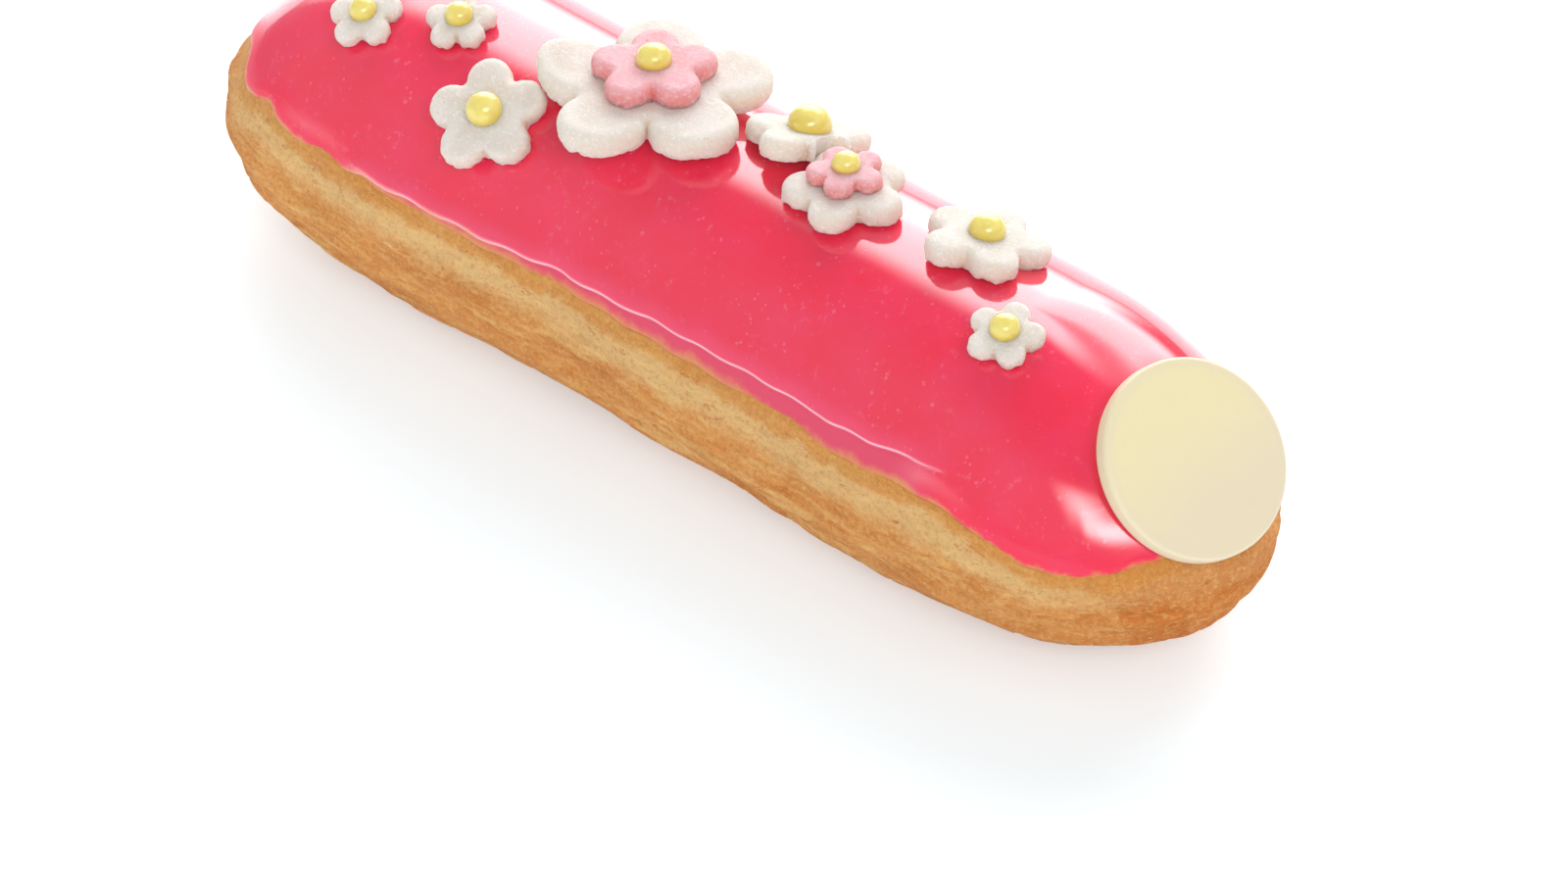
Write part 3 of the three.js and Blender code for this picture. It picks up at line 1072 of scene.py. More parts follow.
@dataclass(frozen=True)
class PasteFinish:
    """Rolled sugar paste: matt and grainy, coarser on its cut wall, its wall colour partly the paste's
    warmer cut tone and partly painted shade, with painted shade in the creases between petals.
    """

    name: str
    top: Colour
    tint: Colour
    # The cut wall's colour: partly the paste's warmer cut tone, partly painted shade on the wall.
    wall: Colour
    # Painted shade in the creases between petals.
    painted_crease_shade: Colour
    bright: Colour
    fleck: Colour
    cloud: Grain = Grain(2.8, 3, 0.6)
    clouded: Step = Step(0.42, 0.66)
    crumbs: Grain = Grain(0.8, 4, 0.7)
    crumbly: Step = Step(0.3, 0.6, 0.65, 1)
    crease_shading: Step = Step(0.2, 1, 0, 0.6)
    grain: Grain = Grain(0.42, 4, 0.75)
    dark_grain: Step = Step(0.5, 0.64, 0, 0.35)
    bright_grain: Step = Step(0.52, 0.64, 0, 0.75)
    fleck_gap: float = 0.9
    fleck_patches: Grain = Grain(1.7, 1)
    fleck_size: Step = Step(0.5, 0.66, 0, 0.14)
    fleck_fade: Step = Step(-0.05, 0.02, 0.6, 0)
    crumb_relief: Relief = Relief(0.3, 0.8)
    grain_relief: Relief = Relief(0.24, 1)

    def material(self) -> bpy.types.Material:
        """Builds the finish.

        Returns:
            The material.
        """
        mix = Mixer(self.name)
        grain, crumbs = mix.grain(self.grain), mix.grain(self.crumbs)
        colour = mix.coat(self.top, self.tint, mix.grain(self.cloud), self.clouded)
        # The wall colour over coarse crumbs: partly the cut paste's tone, partly painted shade.
        on_wall = mix.times(mix.mark("wall"), mix.step(crumbs, self.crumbly))
        colour = mix.blend(on_wall, colour, self.wall)
        # Painted shade in the creases between petals.
        colour = mix.coat(colour, self.painted_crease_shade, mix.mark("painted_crease_shade"), self.crease_shading)
        colour = mix.coat(colour, self.wall, grain, self.dark_grain)
        colour = mix.coat(colour, self.bright, mix.inverse(grain), self.bright_grain)
        fleck_size = mix.step(mix.grain(self.fleck_patches), self.fleck_size)
        in_fleck = mix.spots(self.fleck_gap, fleck_size, self.fleck_fade)
        colour = mix.blend(in_fleck, colour, self.fleck)
        relief = mix.bump(crumbs, self.crumb_relief)
        return mix.finish(
            colour,
            mix.bump(grain, self.grain_relief, relief),
            Roughness=0.7,
            Subsurface_Weight=0.75,
            Subsurface_Radius=(1.0, 0.85, 0.78),
            Subsurface_Scale=0.0024,
        )


@dataclass(frozen=True)
class YellowFinish:
    """A piped drop of yellow glaze, smooth and wet, with painted shade that deepens it towards its base.
    """

    clear: Colour = srgb(246, 229, 128)
    # The deep yellow serves the random clouds and the painted shade towards the base.
    deep: Colour = srgb(222, 192, 70)
    painted_base_shade: Step = Step(0.2, 1, 0, 0.8)
    cloud: Grain = Grain(1.6, 2, 0.5)
    clouded: Step = Step(0.45, 0.7, 0, 0.25)

    def material(self) -> bpy.types.Material:
        """Builds the finish.

        Returns:
            The material.
        """
        mix = Mixer("yellow_drop")
        # Painted shade: the drop deepens towards its base.
        low = mix.step(mix.mark("low"), self.painted_base_shade)
        share = mix.plus(low, mix.step(mix.grain(self.cloud), self.clouded))
        return mix.finish(
            mix.blend(share, self.clear, self.deep),
            Roughness=0.14,
            IOR=1.5,
            Coat_Weight=0.6,
            Coat_Roughness=0.06,
            Subsurface_Weight=0.15,
            Subsurface_Radius=(1.0, 0.8, 0.25),
            Subsurface_Scale=0.001,
        )


@dataclass(frozen=True)
class ChocolateFinish:
    """Moulded white chocolate: cream with faint clouds and a satin skin, with painted shading that turns
    it paler down its face and a painted sheen that pales it towards its rim.
    """

    cream: Colour = srgb(240, 228, 182)
    # The paler tone serves the bloom, the painted shading and the painted rim sheen.
    pale: Colour = srgb(234, 220, 190)
    cloud: Grain = Grain(7.5, 3, 0.5)
    cloud_by: float = 0.6
    painted_shading: Step = Step(-0.5, 0.7)
    # Painted sheen: paler towards the rim.
    painted_rim_sheen: Step = Step(0.84, 0.95, 0, 0.6)
    bloom: Grain = Grain(0.8, 3)
    bloomed: Step = Step(0.5, 0.75, 0, 0.15)
    dimples: Grain = Grain(3.5, 2)
    dimple_relief: Relief = Relief(0.05, 0.2)
    satin: Grain = Grain(0.4, 2)
    satin_relief: Relief = Relief(0.02, 0.25)

    def material(self) -> bpy.types.Material:
        """Builds the finish.

        Returns:
            The material.
        """
        mix = Mixer("white_chocolate_satin")
        # Painted shading: cream across the upper face, paler lower down, its line swayed by clouds.
        cloud = mix.sway(mix.mark("painted_shading_slope"), mix.grain(self.cloud), self.cloud_by)
        colour = mix.coat(self.cream, self.pale, cloud, self.painted_shading)
        # Painted sheen: paler towards the rim.
        colour = mix.coat(colour, self.pale, mix.mark("rim"), self.painted_rim_sheen)
        colour = mix.coat(colour, self.pale, mix.grain(self.bloom), self.bloomed)
        relief = mix.bump(mix.grain(self.dimples), self.dimple_relief)
        return mix.finish(
            colour,
            mix.bump(mix.grain(self.satin), self.satin_relief, relief),
            Roughness=0.42,
            Subsurface_Weight=0.1,
            Subsurface_Radius=(1.0, 0.85, 0.55),
            Subsurface_Scale=0.001,
        )


# ---------------------------------------------------------------- the baked shell


@dataclass
class ChouxShell:
    """The baked shell, full size below the glaze and tucked in under it."""

    loaf: Loaf
    finish: CrustFinish = field(default_factory=CrustFinish)
    around: int = 720
    hidden_rings: int = 9
    side_rings: int = 84
    foot_rings: int = 9
    tuck: float = 0.95
    tuck_arc: float = 2.4
    foot_angle: float = 2.45
    waves: tuple[Wave, ...] = (
        Wave(0.16, (0.19, 0, 0.5)),
        Wave(0.12, (0.37, 0.1, -0.9)),
        Wave(0.14, (0.11, 0, 1.25), 0.8, 0.13),
    )
    streaks: Lumps = Lumps(0.17, (9, 9, 1.6), 3, 5)
    lumps: Lumps = Lumps(0.13, (3.2, 3.2, 2.2), 2, 11)
    wrinkles: Lumps = Lumps(1, (4.2, 4.2, 1.3), 2, 23)
    grit: Lumps = Lumps(0.045, 0.9, 1, 31)
    wrinkle_pull: float = 0.8
    crack_depth: float = 0.2
    crack_crest: Pair = (0.86, 1.0)
    above_foot: Pair = (0.4, 5)
    below_edge: Pair = (-0.5, 1.6)
    foot_share: float = 0.25
    round_end: Pair = (0.1, 0.8)

    def relief(self, points: np.ndarray, below: np.ndarray) -> np.ndarray:
        """How far the crust stands proud of the loaf's form.

        Args:
            points: points of the form.
            below: how far each lies below the glaze's edge, in millimetres.

        Returns:
            Heights in millimetres.
        """
        above_foot = smooth(points[..., 2], *self.above_foot)
        waves = sum(wave.at(points) for wave in self.waves)
        streaks = self.streaks.at(points)
        wrinkle = 1 - np.abs(self.wrinkles.at(points + self.wrinkle_pull * streaks[..., None]))
        cracks = self.crack_depth * smooth(wrinkle, *self.crack_crest)
        crust = streaks + self.lumps.at(points) - cracks + self.grit.at(points)
        share = smooth(below, *self.below_edge) * (self.foot_share + (1 - self.foot_share) * above_foot)
        return above_foot * waves + share * crust

    def build(self) -> bpy.types.Object:
        """Builds and dresses the shell.

        Returns:
            The shell.
        """
        loaf = self.loaf
        place = loaf.places(self.around)
        edge = loaf.edge_angle(place)
        start = edge - self.tuck_arc / loaf.arc
        hidden = np.linspace(0, 1, self.hidden_rings, endpoint=False)[:, None] * start
        side = np.linspace(0, 1, self.side_rings, endpoint=False)[:, None]
        foot = np.linspace(self.foot_angle, np.pi, self.foot_rings)[:, None] + 0 * edge
        down = np.concatenate([hidden, start + side * (self.foot_angle - start), foot])
        places = np.broadcast_to(place, down.shape)
        points = loaf.point(places, down)
        below = (down - edge) * loaf.arc
        tucked = np.where(below < 0, self.tuck * smooth(-below, 0, self.tuck_arc), 0)
        points = points + loaf.normal(places, down) * (self.relief(points, below) - tucked)[..., None]
        points[..., 2] = np.maximum(points[..., 2], 0)
        points[0] = loaf.point(places[0], down[0]) - [0, 0, self.tuck]
        points[-1, :, 2] = 0
        end = smooth(np.broadcast_to(loaf.stations(place).facing, down.shape), *self.round_end)
        piece = wrap_grid("choux_crust", points, {"below": below, "height": points[..., 2], "end": end})
        return dress(piece, self.finish.material(), "choux_shell")


# ---------------------------------------------------------------- the glaze


@dataclass
class GlazeCoat:
    """The poured glaze: a smooth skin that ends in a bead and, below it, a thin film."""

    loaf: Loaf
    finish: GlazeFinish = field(default_factory=GlazeFinish)
    around: int = 1000
    fine_rings: int = 56
    film_rings: int = 24
    crown_rings: int = 36
    inner_rings: int = 6
    fine_arc: float = 7.5
    thickness: float = 1.2
    inner_draw: float = 0.02
    film_from: float = -43.0
    film_slope: float = 0.041
    film_least: float = 0.1
    film_waves: tuple[Wave, Wave] = (
        Wave(0.15, (0.33, 0, 0), 0.9, 0.12),
        Wave(0.045, (0.74, 0, 0), 2.6, 0.21, 1),
    )
    far_film: float = 0.9
    far_wave: Wave = Wave(0.2, (0.25, 0, 0))
    ring_past_film: float = 0.12
    ring_heights: Pair = (0.6, 5.0)
    crowding: Pair = (1.5, 1.6)
    near_bead: Hump = Hump(1, (-46, -38), (37, 45))
    far_bead: Hump = Hump(0.6, (-50, -40), (40, 50))
    film_lift: float = 0.1
    film_rise: Pair = (0, 0.4)
    film_end: Pair = (0, 4)
    plain_edge: Hump = Hump(0.16, (0, 1.2), (2, 7))
    ridge: Hump = Hump(0.34, (-0.08, 0.32), (0.3, 3.0))
    sag: Triple = (0.1, 4.6, 1.8)
    ragged: Lumps = Lumps(0.16, 4.5, 3, 7)
    ragged_shares: Pair = (0.6, 2.2)
    round_end: Pair = (0.02, 0.3)
    waves: Lumps = Lumps(0.03, 14, 1, 3)
    waves_from: Pair = (2, 8)
    ripples: Lumps = Lumps(0.006, 4.5, 1, 9)
    ripples_from: Pair = (0.4, 3)

    def film_width(self, rim: np.ndarray, side: np.ndarray) -> np.ndarray:
        """Width of the film below the bead, in millimetres, at points of the glaze's edge.

        Args:
            rim: the points, one to a place round the plan.
            side: the sign of Y on each one's side.

        Returns:
            One width for each point.
        """
        grown = np.maximum(0, rim[:, 0] - self.film_from) * self.film_slope
        near = self.film_least + grown + sum(wave.at(rim) for wave in self.film_waves)
        return np.where(side == Side.NEAR.value, near, self.far_film + self.far_wave.at(rim))

    def beaded(self, rim: np.ndarray, side: np.ndarray) -> np.ndarray:
        """How strong the bead is at points of the glaze's edge, from 0 to 1."""
        x = rim[:, 0]
        return np.where(side == Side.NEAR.value, self.near_bead.at(x), self.far_bead.at(x))

    def climb(self, width: np.ndarray) -> np.ndarray:
        """Heights of the fine rings above the edge, with one of them along the bead all the way.

        Args:
            width: width of the film at each place round the plan.

        Returns:
            Heights in millimetres, ring by ring from the edge up.
        """
        bead = np.clip(width + self.ring_past_film, *self.ring_heights)
        low, high = self.crowding
        below = 1 - (1 - np.linspace(0, 1, self.film_rings)[:, None]) ** low
        above = np.linspace(0, 1, self.fine_rings - self.film_rings + 1)[1:, None] ** high
        return np.concatenate([bead * below, bead + (self.fine_arc - bead) * above])

    def rise(self, height: np.ndarray, past: np.ndarray, strength: np.ndarray) -> np.ndarray:
        """How far the glaze stands off the form.

        Args:
            height: distance above its edge, in millimetres.
            past: distance above the top of its film.
            strength: how strong the bead is there.

        Returns:
            Heights in millimetres.
        """
        film = self.film_lift * smooth(height, *self.film_rise) * (1 - smooth(past, *self.film_end))
        depth, middle, half = self.sag
        beaded = self.ridge.at(past) - depth * bell(past - middle, half)
        return film + self.plain_edge.at(height) * (1 - strength) + strength * beaded

    def build(self) -> bpy.types.Object:
        """Builds and dresses the glaze.

        Returns:
            The glaze.
        """
        loaf = self.loaf
        place = loaf.places(self.around)
        at = loaf.stations(place)
        edge = loaf.edge_angle(place)
        rim = loaf.point(place, edge)
        on_side, at_end = self.ragged_shares
        share = on_side + (at_end - on_side) * smooth(at.facing, *self.round_end)
        edge = edge + self.ragged.at(rim) * share / loaf.arc
        width = self.film_width(rim, at.side)
        fine = edge - self.climb(width) / loaf.arc
        crown = fine[-1] * (1 - np.linspace(0, 1, self.crown_rings + 1)[1:, None])
        outer = np.concatenate([fine, crown])[::-1]
        inner = edge * np.linspace(1, 0, self.inner_rings + 1)[1:, None] - self.inner_draw
        down = np.concatenate([outer, np.maximum(inner, 0)])
        places = np.broadcast_to(place, down.shape)
        points = loaf.point(places, down)
        height = (edge - down) * loaf.arc
        past = height - width
        strength = self.beaded(rim, at.side)
        waves = self.waves.at(points) * smooth(height, *self.waves_from)
        ripples = self.ripples.at(points) * smooth(height, *self.ripples_from)
        lift = self.rise(height, past, strength) + waves + ripples
        lift[len(outer):] = -self.thickness
        points = points + loaf.normal(places, down) * lift[..., None]
        points[0] = loaf.point(places[0], down[0])
        points[0, :, 2] += self.waves.at(points[0])
        points[-1] = loaf.point(places[-1], down[-1]) - [0, 0, self.thickness]
        bead = np.broadcast_to(strength, down.shape)
        piece = wrap_grid("poured_glaze", points, {"edge": np.abs(height), "past": past, "bead": bead})
        return dress(piece, self.finish.material(), "pink_glaze")


# ---------------------------------------------------------------- the flowers


@dataclass(frozen=True)
class PasteLayer:
    """One cut flower: distance from middle to petal tip, sheet thickness, turn in degrees and shift.

    Its webs are the radii, as shares of the tip, that round the notches between its petals.
    """

    tip: float
    sheet: float
    turn: float
    shift: Pair = (0.0, 0.0)
    webs: tuple[float, ...] = (0.1, 0.085, 0.11, 0.09, 0.095)


@dataclass(frozen=True)
class Flower:
    """A flower on the glaze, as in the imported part, with its leans in degrees.

    It may carry an upper flower, have a petal raised by some millimetres, or be pressed by another.
    """

    number: int
    x: float
    y: float
    lower: PasteLayer
    centre: float
    lean: Pair
    upper: PasteLayer | None = None
    raised_by: float = 0.0
    pressed_by: int | None = None


FLOWERS: tuple[Flower, ...] = (
    Flower(1, -48.6, -8.2, PasteLayer(4.15, 1.5, 52), 1.5, (6, 4)),
    Flower(2, -38.7, -3.8, PasteLayer(3.97, 1.5, 53), 1.55, (2, -1)),
    Flower(3, -27.1, -11.2, PasteLayer(6.6, 1.9, 52.1), 1.98, (6, 3)),
    Flower(
        4, -13.6, -0.3, PasteLayer(13, 2.5, 56.2, webs=(0.05, 0.04, 0.05, 0.006, 0.03)), 1.93, (-2, 2),
        upper=PasteLayer(6.88, 1.9, 59.2, (-0.1, 0.3)), raised_by=2.0,
    ),
    Flower(5, 4.2, 4.3, PasteLayer(6.88, 2.1, 56.6), 2.38, (-7, 6), pressed_by=6),
    Flower(
        6, 13.4, 0.6, PasteLayer(6.79, 2.1, 3.4), 1.55, (-1.8, -1.1),
        upper=PasteLayer(4.25, 1.4, 7.7, (-0.3, 0.3)),
    ),
    Flower(7, 29.6, 3.9, PasteLayer(7, 2.1, 35.6), 1.98, (0.8, 0.8)),
    Flower(8, 41.1, -5.6, PasteLayer(4.19, 1.5, 34.7), 1.65, (5, 2.5)),
)


@dataclass(frozen=True)
class Level:
    """One ring of a cut flower.

    It holds the ring's share of the outline, how far it is drawn in, its height, and how much of it
    counts as cut wall.
    """

    size: float
    inset: float
    height: float
    wall: float


@dataclass(frozen=True)
class Roughness:
    """How uneven cut paste is: over its top, on its cut wall, and along the wall's lower edge."""

    top: Lumps = Lumps(0.06, 2.2, 3, 0)
    top_end: float = 0.9
    dish: float = 0.06
    dish_half: float = 0.5
    dimple: float = 0.16
    wall: Lumps = Lumps(0.08, (0.9, 0.9, 1.4), 3, 5)
    ragged: Lumps = Lumps(0.24, 0.55, 1, 9)
    drawn: float = 0.07
    lifted: Lumps = Lumps(0.34, 0.8, 1, 13)
    low_edge: Pair = (0.1, 0.7)
    crease_halves: Pair = (0.12, 0.3)
    crease_seed: int = 3
    pattern_step: float = 31.0


@dataclass(frozen=True)
class FlowerCutter:
    """Cuts flowers out of rolled paste, each with five round petals and webs between them."""

    petals: int = 5
    petal_steps: int = 40
    web_steps: int = 10
    top_rings: int = 24
    top_crowding: float = 0.85
    round_rings: int = 8
    wall_rings: int = 10
    shoulder: float = 0.5
    wall_draw: float = 0.07
    wall_belly: float = 0.04
    foot_round: float = 0.05
    foot_inset: float = 0.1
    foot_rings: tuple[Pair, ...] = ((0.97, 1.0), (0.6, 0.5), (0.0, 0.5))
    press_gap: float = 0.12
    press_steps: int = 60
    press_by: float = 0.01
    flat_size: float = 0.53
    raised_petal: int = 2
    upper_seed: int = 40
    rough: Roughness = Roughness()

    def petal_sizes(self, tip: float) -> Pair:
        """Distance of the petals' middles, and their radius.

        Args:
            tip: distance from the flower's middle to its petal tips.

        Returns:
            The distance and the radius.
        """
        spread = math.sin(math.pi / self.petals)
        middle = tip / (1 + spread)
        return middle, middle * spread

    def web_centre(self, tip: float, web: float) -> float:
        """Distance from the middle of the circle that rounds a notch.

        Args:
            tip: distance from the flower's middle to its petal tips.
            web: the circle's radius.

        Returns:
            The distance from the flower's middle to the circle's.
        """
        middle, radius = self.petal_sizes(tip)
        half = math.pi / self.petals
        return middle * math.cos(half) + math.sqrt((radius + web) ** 2 - (middle * math.sin(half)) ** 2)

    def outline(self, layer: PasteLayer, inset: float) -> np.ndarray:
        """The cut outline as points round it.

        Args:
            layer: the cut's sizes.
            inset: how far to draw it in.

        Returns:
            Points in millimetres, petal by petal, each followed by the notch after it.
        """
        middle, radius = self.petal_sizes(layer.tip)
        half = math.pi / self.petals
        along_petal = (np.arange(self.petal_steps) + 0.5) / self.petal_steps
        along_web = (np.arange(self.web_steps) + 0.5) / self.web_steps
        rounds = []
        for petal in range(self.petals):
            facing = 2 * half * petal
            webs = [web * layer.tip for web in (layer.webs[petal - 1], layer.webs[petal])]
            centres = [self.web_centre(layer.tip, web) for web in webs]
            before, after = (math.atan2(c * math.sin(half), c * math.cos(half) - middle) for c in centres)
            angle = facing - before + along_petal * (before + after)
            rounds.append(middle * compass(facing) + (radius - inset) * compass(angle))
            angle = facing + after + math.pi - 2 * along_web * (after - half)
            rounds.append(centres[1] * compass(facing + half) + (webs[1] + inset) * compass(angle))
        return np.concatenate(rounds)

    def pressed(self, outline: np.ndarray, flower: Flower) -> np.ndarray:
        """Draws the outline in where the neighbour presses on it.

        Args:
            outline: points of the outline.
            flower: the flower that it belongs to.

        Returns:
            The outline, drawn in where a neighbour presses.
        """
        if flower.pressed_by is None:
            return outline
        other = FLOWERS[flower.pressed_by - 1]
        middle, radius = self.petal_sizes(other.lower.tip)
        facing = 2 * np.pi * np.arange(self.petals) / self.petals + math.radians(other.lower.turn)
        petals = middle * compass(facing)
        turn = math.radians(flower.lower.turn)
        spin = np.array([compass(turn), compass(turn + math.pi / 2)])
        offset = np.array([flower.x - other.x, flower.y - other.y])
        size = np.ones(len(outline))
        for _ in range(self.press_steps):
            place = offset + (outline * size[:, None]) @ spin
            near = np.linalg.norm(place[:, None] - petals, axis=-1).min(-1) < radius + self.press_gap
            size = np.where(near, size - self.press_by, size)
        return outline * size[:, None]

    def petal_rise(self, points: np.ndarray, tip: float, raised_by: float) -> np.ndarray:
        """How far the raised petal stands up.

        Args:
            points: points of the flower.
            tip: distance from its middle to its petal tips.
            raised_by: how far the raised petal's tip stands up.

        Returns:
            Heights in millimetres.
        """
        facing = compass(2 * math.pi * self.raised_petal / self.petals)
        out = points[..., :2] @ facing / tip
        return raised_by * (np.maximum(0, out - self.flat_size) / (1 - self.flat_size)) ** 2

    def levels(self, sheet: float, foot: float) -> list[Level]:
        """The rings of a cut flower, from the middle of its top round to the middle of its underside.

        Args:
            sheet: the sheet's thickness.
            foot: height of its underside.

        Returns:
            The rings in order.
        """
        shoulder = self.shoulder * sheet
        start = sheet - shoulder
        sizes = np.linspace(0, 1, self.top_rings + 1)[:-1] ** self.top_crowding
        levels = [Level(size, shoulder, sheet, 0.0) for size in sizes]
        for k in range(self.round_rings):
            share = k / self.round_rings
            angle = share * math.pi / 2
            inset, height = shoulder * (1 - math.sin(angle)), start + shoulder * math.cos(angle)
            levels.append(Level(1.0, inset, height, share))
        for k in range(self.wall_rings):
            share = k / (self.wall_rings - 1)
            inset = self.wall_draw * share - self.wall_belly * math.sin(share * math.pi)
            levels.append(Level(1.0, inset, start + (foot + self.foot_round - start) * share, 1.0))
        for size, wall in self.foot_rings:
            levels.append(Level(size, self.foot_inset, foot, wall))
        return levels

    def creases(self, points: np.ndarray, layer: PasteLayer, seed: int) -> np.ndarray:
        """How deep in a crease between petals each point is, from 0 to 1.

        Args:
            points: points of the flower.
            layer: the cut's sizes.
            seed: which pattern to use.

        Returns:
            One depth for each point.
        """
        rough = self.rough
        webs = [web * layer.tip for web in layer.webs]
        notches = np.array([self.web_centre(layer.tip, web) - web for web in webs])
        facing = 2 * np.pi * (np.arange(self.petals) + 0.5) / self.petals
        away = np.linalg.norm(points[..., None, :2] - notches[:, None] * compass(facing), axis=-1)
        cells = [(petal, seed, 0) for petal in range(self.petals)]
        depth = 0.5 + 0.5 * lattice(np.array(cells), rough.crease_seed)
        grown, least = rough.crease_halves
        return (bell(away, grown * layer.tip**0.5 + least) * depth).max(-1)

    def roughen(
        self, points: np.ndarray, walls: np.ndarray, layer: PasteLayer, foot: float, seed: int
    ) -> np.ndarray:
        """Makes the paste uneven, and tells how much painted crease shade each point has.

        Args:
            points: the rings of points, changed in place.
            walls: how much each lies on the cut wall.
            layer: the cut's sizes.
            foot: height of its underside.
            seed: which pattern to use.

        Returns:
            1 in the creases between petals and 0 away from them.
        """
        rough = self.rough
        dimple = self.creases(points, layer, seed)
        moved = points + [seed * rough.pattern_step, 0, 0]
        dished = rough.dish * bell(np.linalg.norm(points[..., :2], axis=-1), rough.dish_half * layer.tip)
        sunk = rough.dimple * layer.sheet * dimple
        on_top = 1 - smooth(walls, 0, rough.top_end)
        points[..., 2] += on_top * (rough.top.at(moved, seed) - dished - sunk)
        out = np.linalg.norm(points[..., :2], axis=-1, keepdims=True)
        outward = points[..., :2] / np.maximum(out, TINY)
        near, far = rough.low_edge
        low = walls * (1 - smooth(points[..., 2], foot + near, foot + far))
        drawn = rough.wall.at(moved, seed) * walls + low * (rough.ragged.at(moved, seed) - rough.drawn)
        points[..., :2] += outward * drawn[..., None]
        points[..., 2] += low * np.maximum(0, rough.lifted.at(moved * [1, 1, 0], seed))
        return dimple**2

    def cut(self, name: str, layer: PasteLayer, flower: Flower, foot: float) -> bpy.types.Object:
        """Cuts one flower out of rolled paste.

        Args:
            name: the piece's name.
            layer: the cut's sizes.
            flower: the flower it belongs to.
            foot: height of its underside in the flower's frame.

        Returns:
            The piece, in the flower's frame.
        """
        upper = layer is flower.upper
        rings, walls = [], []
        for level in self.levels(layer.sheet, foot):
            flat = self.outline(layer, level.inset)
            if not upper:
                flat = self.pressed(flat, flower)
            rings.append(np.column_stack([flat * level.size, np.full(len(flat), level.height)]))
            walls.append(np.full(len(flat), level.wall))
        points, walls = np.array(rings), np.array(walls)
        seed = flower.number + (self.upper_seed if upper else 0)
        # Crease depth, kept on the mesh for the finish's painted crease shade.
        creases = self.roughen(points, walls, layer, foot, seed)
        if not upper and flower.raised_by:
            points[..., 2] += self.petal_rise(points, layer.tip, flower.raised_by)
        return wrap_grid(name, points, {"wall": walls, "painted_crease_shade": creases})


@dataclass(frozen=True)
class DropPiper:
    """Pipes drops of yellow glaze, each a ball cut below its middle, pressed a little flat and uneven."""

    segments: int = 56
    rings: int = 36
    cut: float = 0.18
    rise: float = 0.9
    sink: float = 0.06
    uneven: float = 0.006
    pace: Pair = (1.3, 0.9)
    start: float = 9
    sharp: float = 50

    def pipe(self, name: str, radius: float, foot: float, middle: Pair) -> bpy.types.Object:
        """Pipes one drop.

        Args:
            name: the piece's name.
            radius: its radius.
            foot: height of the paste that it sits on.
            middle: where it sits in the flower's frame.

        Returns:
            The piece, in the flower's frame.
        """
        object_mode()
        bpy.ops.mesh.primitive_uv_sphere_add(segments=self.segments, ring_count=self.rings, radius=radius)
        piece = bpy.context.object
        piece.name = name
        piece.data.name = name
        cut = -self.cut * radius
        bpy.ops.object.mode_set(mode="EDIT")
        bpy.ops.mesh.select_all(action="SELECT")
        bpy.ops.mesh.bisect(plane_co=(0, 0, cut), plane_no=(0, 0, 1), use_fill=True, clear_inner=True)
        bpy.ops.object.mode_set(mode="OBJECT")
        # How low each point sits, for the finish's painted shade towards the base.
        low = piece.data.attributes.new("low", "FLOAT", "POINT")
        for index, vertex in enumerate(piece.data.vertices):
            low.data[index].value = 1 - (vertex.co.z - cut) / (radius - cut)
            turn = self.pace[0] * vertex.co.x + self.pace[1] * vertex.co.y + radius * self.start
            swell = 1 + self.uneven * math.sin(turn)
            vertex.co.x *= swell
            vertex.co.y *= swell
            vertex.co.z = (vertex.co.z - cut) * self.rise
        smooth_faces(piece, self.sharp)
        piece.data.transform(Matrix.Translation((*middle, foot - self.sink)))
        return piece


